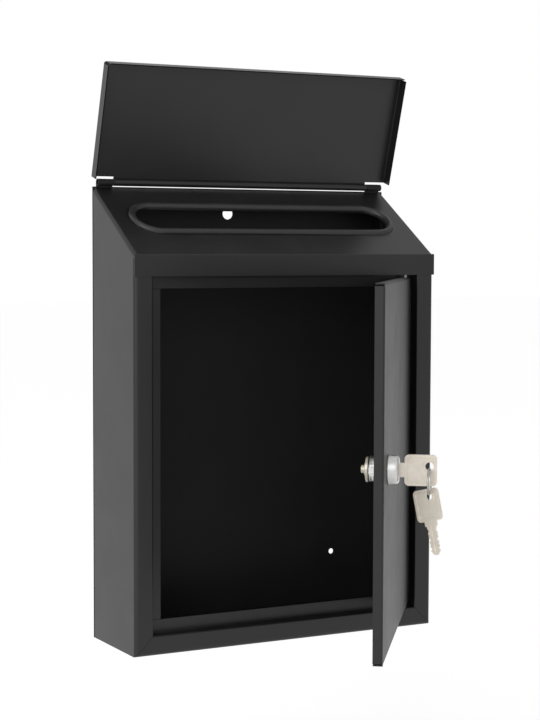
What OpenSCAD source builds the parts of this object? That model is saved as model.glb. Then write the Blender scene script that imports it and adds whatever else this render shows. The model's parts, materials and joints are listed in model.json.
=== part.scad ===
// Wall-mounted sheet-steel mailbox with a hinged lid over a letter slot, and a lockable front door.
// X runs across the box, -Y faces the street, +Y faces the wall and Z is up.
// The origin is midway between the two lower wall holes, on the back face.
// The lid and the door are drawn standing open, with the key in the lock.

/* [Body] */
// Width of the body over its side panels
body_w = 260; // [220:1:320]
// Height of the body at its back
body_h = 350; // [340:1:400]
// Height of the front, up to the fold into the sloping top
front_h = 298.5; // [285:0.5:310]
// Depth of the body from the wall to the front of its door frame
body_d = 80; // [72:1:110]
// Thickness of the steel sheet
sheet_t = 0.8; // [0.6:0.1:1]
// Outer radius of the long edges of the body
edge_r = 3; // [2:0.5:5]
// Inner radius of the small folds
fold_in_r = 0.4; // [0.2:0.1:0.8]
// Width of the flanges that the back panel is welded to
rear_flange_w = 10; // [6:1:16]
// Height of the fascia that is folded down from the top
fascia_h = 16; // [13:0.5:22]
// How far each end of the fascia stands out past the side
fascia_overhang = 0.3; // [0:0.1:0.6]

/* [Door frame] */
// Width of the visible frame beside and below the door
stile_w = 15; // [12:0.5:20]
// Depth of the recess that the door closes into
rebate_d = 9.5; // [9:0.5:14]
// Width of the lip that the door closes against
lip_w = 10; // [8:0.5:14]
// How far the fascia hangs below the ceiling of the recess
fascia_drip = 0.8; // [0.2:0.1:1.5]
// Height of the face of the head rail behind the fascia
head_face_h = 9; // [6:0.5:11]

/* [Letter slot] */
// Clear length of the slot
slot_w = 219; // [160:1:222]
// Clear height of the slot, along the slope
slot_h = 30.5; // [24:0.5:34]
// Distance from the front fold to the middle of the slot, along the slope
slot_up = 50.2; // [46:0.1:56]
// Radius of the rolled rim
rim_r = 2.25; // [1.5:0.05:2.5]
// Width of the raised ground around the rim
rim_skirt_w = 2; // [1:0.1:3]

/* [Wall holes] */
// Distance between the two lower holes
low_hole_gap = 166; // [120:1:200]
// Height of the lower holes above the bottom
low_hole_z = 51; // [40:1:80]
// Diameter of the lower holes
low_hole_d = 4.5; // [4:0.1:7]
// Distance of the upper hole below the top of the body
top_hole_drop = 19.5; // [16:0.5:50]
// Distance of the upper hole from the middle, to the left
top_hole_left = 14; // [0:0.5:40]
// Diameter of the upper hole
top_hole_d = 9; // [6:0.1:12]

/* [Lid] */
// Outer diameter of the rolled hinge
hinge_od = 5.4; // [5:0.1:6.5]
// Height of the hinge axis above the back of the body
hinge_rise = 3.5; // [3.2:0.1:5]
// Diameter of the hinge pin
hinge_pin_d = 3.6; // [2.6:0.1:3.6]
// Width of each end knuckle
knuckle_w = 14.4; // [8:0.1:20]
// Distance of each end knuckle from the side of the body
knuckle_inset = 3; // [2:0.1:6]
// Distance from the hinge axis to the free edge of the lid
lid_len = 93.2; // [90:0.1:94]
// Depth of the flanges of the lid, over its face
lid_flange_d = 9.2; // [8:0.1:11]
// Gap between a side of the body and the lid's flange
lid_side_gap = 0.8; // [0.5:0.1:1.5]
// Distance from the hinge axis to the sheet beside the knuckles
lid_notch = 5.2; // [4:0.1:8]
// Open corner between two flanges of the lid
lid_corner = 1.9; // [1.8:0.1:3]
// How far the open lid leans forward from upright
lid_lean = 17; // [0:1:40]

/* [Door] */
// Gap between the door and the recess, at each side
door_side_gap = 4.2; // [4:0.1:5]
// Gap between the door and the recess, above and below
door_end_gap = 3; // [2:0.1:4]
// How far the door's face stands behind the face of the frame
door_set_back = 0.25; // [0:0.05:0.5]
// Depth of the door's flanges, over its face
door_flange_d = 7; // [5:0.1:7.5]
// Depth of the flange beside the hinge, over its face
hinge_flange_d = 6; // [5:0.1:6]
// Outer radius of the door's folds
door_fold_r = 1.6; // [1.6:0.1:2]
// Open corner between two flanges, at the free edge
door_corner = 3; // [2:0.1:5]
// Distance from the side of the recess to the pivot axis
pivot_inset = 8.7; // [8.5:0.1:10]
// Distance from the face of the frame to the pivot axis
pivot_depth = 4; // [3.9:0.1:4.1]
// Diameter of the pivot pins
pivot_d = 3; // [2:0.1:3.2]
// How far the pivot pins reach through the door's flanges
pivot_reach = 2.5; // [1:0.1:4]
// How far the door stands open
door_angle = 53; // [0:1:100]

/* [Lock] */
// Distance from the free edge of the door to the lock
lock_from_edge = 32; // [28:0.5:40]
// Height of the lock above the bottom
lock_z = 150; // [120:1:200]
// Diameter of the lock's head
lock_head_d = 21; // [20:0.1:24]
// Height of the lock's head
lock_head_h = 7.8; // [6:0.1:9]
// Diameter of the threaded barrel
lock_barrel_d = 18; // [16:0.1:18.5]
// Length of the barrel behind the door's face
lock_barrel_l = 13; // [12:0.1:15]
// Distance between the two flats of the barrel
lock_flats = 16; // [15:0.1:17]
// Diameter of the turning plug
plug_d = 12; // [11:0.1:12.4]
// Width across the flats of the nut
nut_flats = 22; // [20:0.5:24]
// Height of the nut
nut_h = 4.5; // [3:0.1:5]
// Height of the lock's washer
washer_h = 1; // [0.6:0.1:1.5]
// Distance from the plug's axis to the end of the cam
cam_reach = 34; // [32:0.5:38]
// Width of the cam's arm
cam_w = 12; // [9:0.5:14]
// Thickness of the cam
cam_t = 2; // [1.5:0.1:2.5]
// Width of the square that drives the cam
square_w = 6.5; // [5:0.1:7]

/* [Keys] */
// Thickness of a key
key_t = 1.8; // [1.6:0.1:2]
// Length of a key's bow
bow_l = 22.5; // [20:0.1:24]
// Width of a key's bow
bow_w = 21.8; // [20:0.1:23]
// Corner radius of the bow
bow_r = 3; // [2:0.1:4]
// Length of the neck between the bow and the blade
neck_l = 3.4; // [3:0.1:5]
// Width of the neck
neck_w = 10; // [9:0.1:10.5]
// Length of the blade
blade_l = 20.3; // [18:0.1:20.4]
// Width of the blade
blade_w = 7.4; // [6:0.1:7.6]
// Diameter of the hole in the bow
bow_hole_d = 5.8; // [5.8:0.1:6.2]
// Distance from the end of the bow to its hole
bow_hole_in = 5.2; // [4.8:0.1:6]
// Distance of the bow's hole from the middle of the key
bow_hole_side = 2.8; // [2:0.1:4]
// Diameter of the key ring, wire centre to wire centre
ring_d = 17.4; // [17:0.1:20]
// Diameter of the ring's wire
wire_d = 1.2; // [1:0.1:1.2]
// How far the spare key is turned on the ring
spare_turn = 35; // [20:1:36]
// How far the spare key hangs out of plumb
spare_tilt = 14; // [8:1:16]
// Width of the raised border round a bow
bow_border = 2; // [1.2:0.1:3]
// Depth of the sunk ground inside that border, on each face
bow_sink = 0.25; // [0.1:0.05:0.3]

/* [Fit] */
// Radial gap between a pin and the hole that turns on it
running_gap = 0.06; // [0.02:0.01:0.1]
// Gap between faces of different pieces that rest or slide on each other
rest_gap = 0.3; // [0.2:0.05:0.4]
// Gap around the blade in its keyway
keyway_gap = 0.25; // [0.15:0.05:0.3]

/* [Hidden] */

$fn = 64;
fold_steps = 6;
beyond = 1;
steel_black = [0.2, 0.2, 0.21];
steel_face = [0.16, 0.16, 0.17];
zinc = [0.72, 0.71, 0.68];
nickel = [0.76, 0.73, 0.68];

// Folds
fold_r = fold_in_r + sheet_t;

// The door frame, as seen from inside its recess
half_w = body_w / 2;
opening_half = half_w - stile_w;
floor_z = stile_w;
ceiling_z = front_h - fascia_h + fascia_drip;
lip_depth = body_d - rebate_d;

// The sloping top. Its outer face starts at the front of the fascia.
fascia_y = body_d + sheet_t;
slope_angle = atan2(body_h - front_h, fascia_y);
slope_l = norm([body_h - front_h, fascia_y]);
fold_margin = 0.5;
cover_skirt = edge_r + fold_margin;
cover_rear_h = 8;
weld_dip = 0.2;
rim_shoulder = rim_r * cos(45);
rim_steps = 48;

// The lid's hinge, rolled against the plane of the wall
hinge_r = hinge_od / 2;
hinge_y = hinge_r;
hinge_z = body_h + hinge_rise;
hinge_bore_r = hinge_pin_d / 2 + running_gap;
knuckle_out = half_w - knuckle_inset;
knuckle_in = knuckle_out - knuckle_w;
knuckle_curl = 300;
barrel_half = knuckle_in - rest_gap;
lid_half = half_w + lid_side_gap + sheet_t;
lid_edge_half = barrel_half - rest_gap;

// The closed door, which turns on pins beside its right edge
pivot_x = opening_half - pivot_inset;
pivot_y = body_d - pivot_depth;
pivot_bore_r = pivot_d / 2 + running_gap;
pivot_shoulder = 1.3;
pivot_head_d = pivot_d + 2 * pivot_shoulder;
pivot_head_h = 1.2;
door_face = body_d - door_set_back;
door_right = opening_half - door_side_gap;
door_left = door_side_gap - opening_half;
door_bottom = floor_z + door_end_gap;
door_top = ceiling_z - door_end_gap;

// The lock, measured along its own axis from the face of the door
lock_x = door_left + lock_from_edge;
play = 0.1;
end_play = 0.2;
head_flange_h = 0.8;
head_taper = 0.5;
head_round = 2.2;
plug_r = plug_d / 2;
plug_back = lock_barrel_l + end_play;
plug_collar_r = plug_r + 1.2;
plug_collar_h = 2;
plug_front = lock_head_h - end_play;
washer_r = nut_flats / 2 + 0.5;
cam_hub_r = 9;
cam_front = plug_back + end_play;
square_back = cam_front + cam_t + play;
cam_washer_r = 4.5;
cam_washer_h = 0.8;
cam_screw_r = 1.5;
cam_screw_head_r = 2.8;
cam_screw_head_h = 2.9;
cam_screw_l = square_back - plug_back + play;
driver_slot_w = 0.8;
driver_slot_h = 1.6;

// The keys and their ring, measured along the key from its shoulder
key_shoulder = lock_head_h + rest_gap;
bow_start = neck_l;
bow_end = bow_start + bow_l;
bow_hole = [bow_end - bow_hole_in, bow_hole_side];
wire_r = wire_d / 2;
turn_lap = 0.05;
wire_out = wire_r * (1 - turn_lap);
wire_room = bow_hole_d / 2 - rest_gap;
hang = sqrt(pow(wire_room - wire_r, 2) - pow(wire_out, 2));
ring_top = bow_hole_side - hang;
ring_r = ring_d / 2;
ring_out = key_shoulder + bow_hole[0];
ring_bottom = ring_top - ring_d;
// The spare key is turned, so the two turns of wire take up more of its hole
spare_wire_out = wire_out / cos(spare_turn) + key_t / 2 * tan(spare_turn);
spare_hang = sqrt(pow(wire_room - wire_r / cos(spare_turn), 2) - pow(spare_wire_out, 2));
bow_boss_r = bow_hole_d / 2 + 1.1;
keyway_l = blade_l + rest_gap;
tip_l = 3;
tip_half = 1;
first_cut = 1.5;
cut_root_half = 0.4;
bitting = [0.9, 0.3, 1.2, 0.6, 1.0];
cut_pitch = (blade_l - tip_l - first_cut) / len(bitting);

// ---- Sheet-metal sections: one path along a face, folded at each corner ----

function unit(v) = v / norm(v);
function left_of(v) = [-v[1], v[0]];
function turn_of(a, b, c) =
    let (u = unit(b - a), v = unit(c - b)) atan2(u[0] * v[1] - u[1] * v[0], u * v);
function fold_points(a, b, c, r, side) =
    let (turn = turn_of(a, b, c), way = sign(turn), u = unit(b - a), n = left_of(u) * way,
        centre = b - u * r * tan(abs(turn) / 2) + n * r, from = atan2(-n[1], -n[0]))
    [for (k = [0:fold_steps])
        let (angle = from + turn * k / fold_steps) centre + (r - way * side) * [cos(angle), sin(angle)]];
function face_points(path, radii, side) =
    let (last = len(path) - 1)
    concat([path[0] + left_of(unit(path[1] - path[0])) * side],
        [for (i = [1:last - 1]) each fold_points(path[i - 1], path[i], path[i + 1], radii[i - 1], side)],
        [path[last] + left_of(unit(path[last] - path[last - 1])) * side]);
function reversed(list) = [for (i = [len(list) - 1:-1:0]) list[i]];
function swapped(path) = [for (p = path) [p[1], p[0]]];

// A folded sheet in section. Its thickness lies to the left of the path, or to the right if it is negative.
module sheet(path, radii, thickness) {
    polygon(concat(face_points(path, radii, 0), reversed(face_points(path, radii, thickness))));
}

// ---- Places ----

module from_bottom() {
    translate([0, 0, -low_hole_z]) children();
}

module along_x(length) {
    translate([-length / 2, 0, 0]) rotate([90, 0, 90]) linear_extrude(length) children();
}

// Origin on the front fold, with Y up the slope and Z out of it
module on_slope() {
    translate([0, -fascia_y, front_h]) rotate([slope_angle, 0, 0]) children();
}

// Origin on the hinge axis, with Y along the lid to its free edge and Z out of its top face
module on_lid() {
    translate([0, -hinge_y, hinge_z]) rotate([90 + lid_lean, 0, 0]) mirror([0, 0, 1]) children();
}

// Turns the closed door about its pivots to where it stands open
module on_open_door() {
    translate([pivot_x, -pivot_y, 0]) rotate([0, 0, door_angle]) translate([-pivot_x, pivot_y, 0]) children();
}

// Origin on the face of the door, with X towards the hinge, Y up and Z out of the door
module on_lock() {
    on_open_door() translate([lock_x, -door_face, lock_z]) rotate([90, 0, 0]) children();
}

// ---- The body ----

// The section that the two sides and the bottom share: rear flange, wall, frame, recess and lip.
// Each point is its distance in from the outside, and its place from the wall to the front.
frame_path = [[rear_flange_w, -sheet_t], [0, -sheet_t], [0, -body_d], [stile_w, -body_d],
    [stile_w, -lip_depth], [stile_w + lip_w, -lip_depth]];
frame_radii = [fold_r, edge_r, fold_r, fold_in_r];

// A wedge under the mitre between a side and the bottom, at the left
module below_mitre() {
    reach = stile_w + lip_w + rear_flange_w;
    translate([-half_w, beyond, 0]) rotate([90, 0, 0]) linear_extrude(body_d + 2 * beyond)
        polygon([[-beyond, -beyond], [reach, reach], [reach, -beyond]]);
}

// A wedge over the same mitre
module above_mitre() {
    reach = stile_w + lip_w + rear_flange_w;
    translate([-half_w, beyond, 0]) rotate([90, 0, 0]) linear_extrude(body_d + 2 * beyond)
        polygon([[-beyond, -beyond], [reach, reach], [-beyond, reach]]);
}

module left_side_sheet() {
    difference() {
        translate([-half_w, 0, 0]) linear_extrude(body_h) sheet(frame_path, frame_radii, sheet_t);
        below_mitre();
        on_slope() translate([-body_w, -body_d, -cover_skirt]) cube([2 * body_w, 3 * body_d, body_h]);
        translate([-opening_half, -lip_depth - rebate_d / 2, ceiling_z - fold_in_r - play])
            cube([lip_w + beyond, rebate_d, body_h]);
    }
}

module left_side() {
    color(steel_black) from_bottom() left_side_sheet();
}

module right_side() {
    color(steel_black) from_bottom() mirror([1, 0, 0]) left_side_sheet();
}

module bottom_panel() {
    color(steel_black) from_bottom() difference() {
        along_x(body_w) sheet(swapped(frame_path), frame_radii, -sheet_t);
        above_mitre();
        mirror([1, 0, 0]) above_mitre();
        translate([pivot_x, -pivot_y, floor_z - 3 * sheet_t]) cylinder(r = pivot_d / 2, h = 6 * sheet_t);
    }
}

// One rolled knuckle, from the plane of the back panel over the pin
module curl(length) {
    rotate([0, 90, 0]) rotate([0, 0, 90]) rotate_extrude(angle = knuckle_curl)
        translate([hinge_bore_r, 0]) square([hinge_r - hinge_bore_r, length]);
}

module back_panel() {
    top = body_h - sheet_t;
    color(steel_black) from_bottom() difference() {
        union() {
            translate([-half_w, -sheet_t, 0]) cube([body_w, sheet_t, top]);
            for (x = [-knuckle_out, knuckle_in]) {
                translate([x, -sheet_t, top - beyond]) cube([knuckle_w, sheet_t, hinge_z - top + beyond]);
                translate([x, -hinge_y, hinge_z]) curl(knuckle_w);
            }
        }
        for (x = [-low_hole_gap / 2, low_hole_gap / 2])
            translate([x, beyond, low_hole_z]) rotate([90, 0, 0]) cylinder(d = low_hole_d, h = sheet_t + 2 * beyond);
        translate([-top_hole_left, beyond, body_h - top_hole_drop]) rotate([90, 0, 0])
            cylinder(d = top_hole_d, h = sheet_t + 2 * beyond);
        for (x = [-knuckle_out, knuckle_in])
            translate([x - beyond, -hinge_y, hinge_z]) rotate([0, 90, 0])
                cylinder(r = hinge_bore_r, h = knuckle_w + 2 * beyond);
    }
}

// A round-ended loop on the slope: the section is swept round it, with X out from its middle line
module round_loop(half_l, end_r) {
    for (side = [0, 1])
        mirror([side, 0, 0]) {
            translate([half_l, 0, 0]) rotate([0, 0, -90]) rotate_extrude(angle = 180) translate([end_r, 0]) children();
            translate([-half_l, 0, 0]) mirror([0, side, 0]) translate([0, end_r, 0])
                rotate([90, 0, 90]) linear_extrude(2 * half_l) children();
        }
}

module slot_opening(half_l, end_r, depth) {
    for (x = [-half_l, half_l])
        translate([x, 0, -depth / 2]) cylinder(r = end_r, h = depth);
    translate([-half_l, -end_r, -depth / 2]) cube([2 * half_l, 2 * end_r, depth]);
}

module top_cover() {
    end_r = slot_h / 2 + rim_r;
    half_l = slot_w / 2 + rim_r - end_r;
    cover_path = [[-half_w, -cover_skirt], [-half_w, 0], [half_w, 0], [half_w, -cover_skirt]];
    up = [cos(slope_angle), sin(slope_angle)];
    fold = [-fascia_y, front_h];
    rear_z = body_h - cover_rear_h;
    slope_fall = sheet_t * tan(slope_angle);
    color(steel_black) from_bottom() union() {
        // The slope with its folded edges, from the fascia to the back panel
        difference() {
            intersection() {
                on_slope() translate([0, slope_l + body_d, 0]) rotate([90, 0, 0])
                    linear_extrude(slope_l + 2 * body_d) sheet(cover_path, [edge_r, edge_r], -sheet_t);
                translate([-body_w, -body_d, 0]) cube([2 * body_w, body_d - sheet_t, 2 * body_h]);
            }
            on_slope() translate([0, slot_up, 0]) slot_opening(half_l, end_r, 8 * sheet_t);
        }
        // The fascia and the fold that carries it
        intersection() {
            along_x(body_w + 2 * fascia_overhang)
                sheet([[-fascia_y, front_h - fascia_h], fold, fold + up * fascia_h], [fold_r], -sheet_t);
            translate([-body_w, -fascia_y - beyond, 0]) cube([2 * body_w, sheet_t + beyond, 2 * body_h]);
        }
        // The flange that the back panel is welded to
        along_x(body_w - 2 * rear_flange_w - 2 * fold_margin)
            polygon([[-2 * sheet_t, rear_z], [-sheet_t, rear_z], [-sheet_t, body_h - (1 + weld_dip) * slope_fall],
                [-2 * sheet_t, body_h - (2 + weld_dip) * slope_fall]]);
        // The rolled rim of the slot on its raised ground
        on_slope() translate([0, slot_up, -sheet_t / 2]) round_loop(half_l, end_r) union() {
            circle(r = rim_r, $fn = rim_steps);
            polygon([[0, -sheet_t / 2], [0, rim_shoulder], [rim_shoulder, rim_shoulder],
                [rim_r + rim_skirt_w, sheet_t / 2], [rim_r + rim_skirt_w, -sheet_t / 2]]);
        }
    }
}

// The rail behind the fascia: its face, the ceiling of the recess and the upper lip
module door_head_rail() {
    rail_path = [[-body_d, ceiling_z + head_face_h], [-body_d, ceiling_z], [-lip_depth, ceiling_z],
        [-lip_depth, ceiling_z - lip_w]];
    color(steel_black) from_bottom() difference() {
        along_x(2 * opening_half) sheet(rail_path, [fold_r, fold_in_r], sheet_t);
        for (side = [0, 1])
            mirror([side, 0, 0]) translate([opening_half - lip_w, -lip_depth - beyond, ceiling_z - 2 * lip_w])
                cube([lip_w + beyond, rebate_d, 2 * lip_w - fold_in_r - play / 2]);
        translate([pivot_x, -pivot_y, ceiling_z - 3 * sheet_t]) cylinder(r = pivot_d / 2, h = 6 * sheet_t);
    }
}

// ---- The lid ----

module lid() {
    face = hinge_r;
    inner_half = lid_half - lid_corner;
    side_path = [[-lid_half, face - lid_flange_d], [-lid_half, face], [lid_half, face],
        [lid_half, face - lid_flange_d]];
    end_path = [[lid_notch, face], [lid_len, face], [lid_len, face - lid_flange_d]];
    color(steel_face) from_bottom() on_lid() difference() {
        union() {
            // The face with its two side flanges
            translate([0, lid_len - lid_corner, 0]) rotate([90, 0, 0])
                linear_extrude(lid_len - lid_corner - lid_notch) sheet(side_path, [fold_r, fold_r], -sheet_t);
            // The face with the flange at its free edge
            along_x(2 * inner_half) sheet(end_path, [fold_r], -sheet_t);
            // The tongue that is rolled round the pin
            translate([-lid_edge_half, 0, face - sheet_t]) cube([2 * lid_edge_half, lid_notch + beyond, sheet_t]);
            translate([-lid_edge_half, 0, 0]) rotate([0, 90, 0]) rotate([0, 0, 180]) rotate_extrude(angle = -knuckle_curl)
                translate([hinge_bore_r, 0]) square([hinge_r - hinge_bore_r, 2 * lid_edge_half]);
        }
        translate([-lid_half, 0, 0]) rotate([0, 90, 0]) cylinder(r = hinge_bore_r, h = 2 * lid_half);
    }
}

module lid_hinge_pin() {
    color(zinc) from_bottom() translate([-knuckle_out, -hinge_y, hinge_z]) rotate([0, 90, 0])
        cylinder(d = hinge_pin_d, h = 2 * knuckle_out);
}

// ---- The door ----

module door() {
    across = [[door_left, door_flange_d - door_face], [door_left, -door_face], [door_right, -door_face],
        [door_right, hinge_flange_d - door_face]];
    upright = [[door_flange_d - door_face, door_bottom], [-door_face, door_bottom], [-door_face, door_top],
        [door_flange_d - door_face, door_top]];
    radii = [door_fold_r, door_fold_r];
    color(steel_face) from_bottom() on_open_door() difference() {
        union() {
            translate([0, 0, door_bottom + door_corner])
                linear_extrude(door_top - door_bottom - 2 * door_corner) sheet(across, radii, sheet_t);
            translate([(door_left + door_right + door_corner - door_fold_r) / 2, 0, 0])
                along_x(door_right - door_left - door_corner - door_fold_r) sheet(upright, radii, -sheet_t);
        }
        translate([pivot_x, -pivot_y, door_bottom - beyond])
            cylinder(r = pivot_bore_r, h = door_top - door_bottom + 2 * beyond);
        translate([lock_x, 0, lock_z]) rotate([90, 0, 0]) cylinder(d = lock_barrel_d + 2 * play, h = body_d + beyond);
    }
}

// A headed pivot pin that points up, with the underside of its head at the origin
module pivot_pin(length) {
    translate([0, 0, -pivot_head_h]) cylinder(d = pivot_head_d, h = pivot_head_h);
    cylinder(d = pivot_d, h = length);
}

module lower_pivot_pin() {
    color(zinc) from_bottom() translate([pivot_x, -pivot_y, floor_z - sheet_t])
        pivot_pin(sheet_t + door_end_gap + sheet_t + pivot_reach);
}

module upper_pivot_pin() {
    color(zinc) from_bottom() translate([pivot_x, -pivot_y, ceiling_z + sheet_t]) mirror([0, 0, 1])
        pivot_pin(sheet_t + door_end_gap + sheet_t + pivot_reach);
}

module lower_pivot_washer() {
    color(zinc) from_bottom() translate([pivot_x, -pivot_y, floor_z]) difference() {
        cylinder(d = pivot_head_d, h = door_end_gap - rest_gap);
        translate([0, 0, -beyond]) cylinder(r = pivot_bore_r, h = door_end_gap + 2 * beyond);
    }
}

// ---- The lock ----

// Points on the rounded front edge of the lock's head
function head_edge(r, round) =
    [for (k = [0:fold_steps])
        let (angle = 90 * k / fold_steps)
        [r - round + round * cos(angle), lock_head_h - round + round * sin(angle)]];

module lock_housing() {
    head_r = lock_head_d / 2;
    color(zinc) from_bottom() on_lock() difference() {
        union() {
            rotate_extrude() polygon(concat([[0, 0], [head_r, 0], [head_r, head_flange_h]],
                head_edge(head_r - head_taper, head_round), [[0, lock_head_h]]));
            translate([0, 0, -lock_barrel_l]) intersection() {
                cylinder(d = lock_barrel_d, h = lock_barrel_l + beyond);
                translate([-lock_flats / 2, -lock_barrel_d, 0])
                    cube([lock_flats, 2 * lock_barrel_d, lock_barrel_l + beyond]);
            }
        }
        translate([0, 0, -lock_barrel_l - beyond])
            cylinder(r = plug_r + running_gap, h = lock_barrel_l + lock_head_h + 2 * beyond);
        translate([0, 0, lock_head_h - plug_collar_h - rest_gap])
            cylinder(r = plug_collar_r + running_gap, h = plug_collar_h + beyond);
    }
}

module lock_washer() {
    color(zinc) from_bottom() on_lock() translate([0, 0, -sheet_t - washer_h]) difference() {
        cylinder(r = washer_r, h = washer_h);
        translate([0, 0, -beyond]) cylinder(r = lock_barrel_d / 2 + running_gap, h = washer_h + 2 * beyond);
    }
}

module lock_nut() {
    color(zinc) from_bottom() on_lock() translate([0, 0, -sheet_t - washer_h - nut_h]) difference() {
        cylinder(d = nut_flats / cos(30), h = nut_h, $fn = 6);
        translate([0, 0, -beyond]) cylinder(r = lock_barrel_d / 2 + running_gap, h = nut_h + 2 * beyond);
    }
}

module lock_plug() {
    color(zinc) from_bottom() on_lock() difference() {
        union() {
            translate([0, 0, -plug_back]) cylinder(r = plug_r, h = plug_back + plug_front);
            translate([0, 0, plug_front - plug_collar_h]) cylinder(r = plug_collar_r, h = plug_collar_h);
            translate([-square_w / 2, -square_w / 2, -square_back])
                cube([square_w, square_w, square_back - plug_back + beyond]);
        }
        translate([-key_t / 2 - keyway_gap, -blade_w / 2 - keyway_gap, key_shoulder - keyway_l])
            cube([key_t + 2 * keyway_gap, blade_w + 2 * keyway_gap, keyway_l + beyond]);
        translate([0, 0, -square_back - beyond]) cylinder(r = cam_screw_r, h = cam_screw_l + beyond);
    }
}

module lock_cam() {
    color(zinc) from_bottom() on_lock() translate([0, 0, -cam_front - cam_t]) linear_extrude(cam_t) difference() {
        union() {
            circle(r = cam_hub_r);
            translate([0, -cam_w / 2]) square([cam_reach - cam_w / 2, cam_w]);
            translate([cam_reach - cam_w / 2, 0]) circle(d = cam_w);
        }
        square(square_w + 2 * play, center = true);
    }
}

module cam_screw() {
    washer_front = square_back + play;
    head_back = washer_front + cam_washer_h + cam_screw_head_h;
    color(zinc) from_bottom() on_lock() mirror([0, 0, 1]) difference() {
        union() {
            translate([0, 0, washer_front - cam_screw_l]) cylinder(r = cam_screw_r, h = cam_screw_l + cam_washer_h);
            translate([0, 0, washer_front]) cylinder(r = cam_washer_r, h = cam_washer_h);
            translate([0, 0, washer_front]) cylinder(r = cam_screw_head_r, h = cam_washer_h + cam_screw_head_h);
        }
        translate([-driver_slot_w / 2, -cam_screw_head_r - beyond, head_back - driver_slot_h])
            cube([driver_slot_w, 2 * cam_screw_head_r + 2 * beyond, driver_slot_h + beyond]);
    }
}

// ---- The keys ----

module rounded_square(size, r) {
    for (x = [r, size[0] - r], y = [r, size[1] - r])
        translate([x, y]) circle(r = r);
    translate([r, 0]) square([size[0] - 2 * r, size[1]]);
    translate([0, r]) square([size[0], size[1] - 2 * r]);
}

// A key in the plane, with its bow along +X, its shoulder at zero and its blade along -X
module key_outline() {
    difference() {
        union() {
            translate([bow_start, -bow_w / 2]) rounded_square([bow_l, bow_w], bow_r);
            translate([0, -neck_w / 2]) square([bow_start + bow_r, neck_w]);
            polygon([[0, blade_w / 2], [tip_l - blade_l, blade_w / 2], [-blade_l, tip_half], [-blade_l, -tip_half],
                [tip_l - blade_l, -blade_w / 2], [0, -blade_w / 2]]);
        }
        translate(bow_hole) circle(d = bow_hole_d);
        for (i = [0:len(bitting) - 1], side = [-1, 1])
            translate([-first_cut - cut_pitch * (i + 0.5), side * blade_w / 2])
                polygon([[-cut_pitch / 2, side * play], [-cut_root_half, -side * bitting[i]],
                    [cut_root_half, -side * bitting[i]], [cut_pitch / 2, side * play]]);
    }
}

// A key with the ground of its bow sunk on both faces, inside a border and round the hole
module key_blank() {
    difference() {
        translate([0, 0, -key_t / 2]) linear_extrude(key_t) key_outline();
        for (side = [0, 1])
            mirror([0, 0, side]) translate([0, 0, key_t / 2 - bow_sink]) linear_extrude(bow_sink + beyond) difference() {
                translate([bow_start + bow_border, bow_border - bow_w / 2])
                    rounded_square([bow_l - 2 * bow_border, bow_w - 2 * bow_border], bow_r - bow_border / 2);
                translate(bow_hole) circle(r = bow_boss_r);
            }
    }
}

module key() {
    color(nickel) from_bottom() on_lock() translate([0, 0, key_shoulder]) rotate([0, -90, 0]) key_blank();
}

module key_ring() {
    color(nickel) from_bottom() on_lock() translate([0, ring_top - ring_r, ring_out])
        for (turn = [-1, 1])
            translate([0, 0, turn * wire_out]) rotate_extrude() translate([ring_r, 0]) circle(r = wire_r, $fn = 32);
}

module spare_key() {
    color(nickel) from_bottom() on_lock() translate([0, ring_bottom - spare_hang, ring_out]) rotate([0, -spare_turn, 0])
        rotate([0, -90, 0]) rotate([0, 0, 90 + spare_tilt]) translate([-bow_hole[0], bow_hole[1], 0])
        mirror([0, 1, 0]) key_blank();
}

back_panel();
left_side();
right_side();
bottom_panel();
top_cover();
door_head_rail();
upper_pivot_pin();
lower_pivot_pin();
lower_pivot_washer();
lid();
lid_hinge_pin();
door();
lock_housing();
lock_washer();
lock_nut();
lock_plug();
lock_cam();
cam_screw();
key();
key_ring();
spare_key();
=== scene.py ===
"""Looks of a wall-mounted sheet-steel mailbox with a hinged lid, a lockable door and its keys.

Each sub-assembly is a class: its sizes are fields in millimetres and its methods build and dress its
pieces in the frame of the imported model. Sheets are built as folded sections, cut and then edged.
"""

import json
import logging
from contextlib import contextmanager
from dataclasses import dataclass, field
from enum import Enum
from math import asin, atan2, copysign, cos, pi, radians, sin, tan
from typing import Callable, Iterator, Sequence

import bmesh
import bpy
from bmesh.types import BMesh
from bpy.types import Material, Mesh, Node, NodeOutputs, NodeSocket, NodeTree, Object
from mathutils import Matrix, Vector

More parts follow.
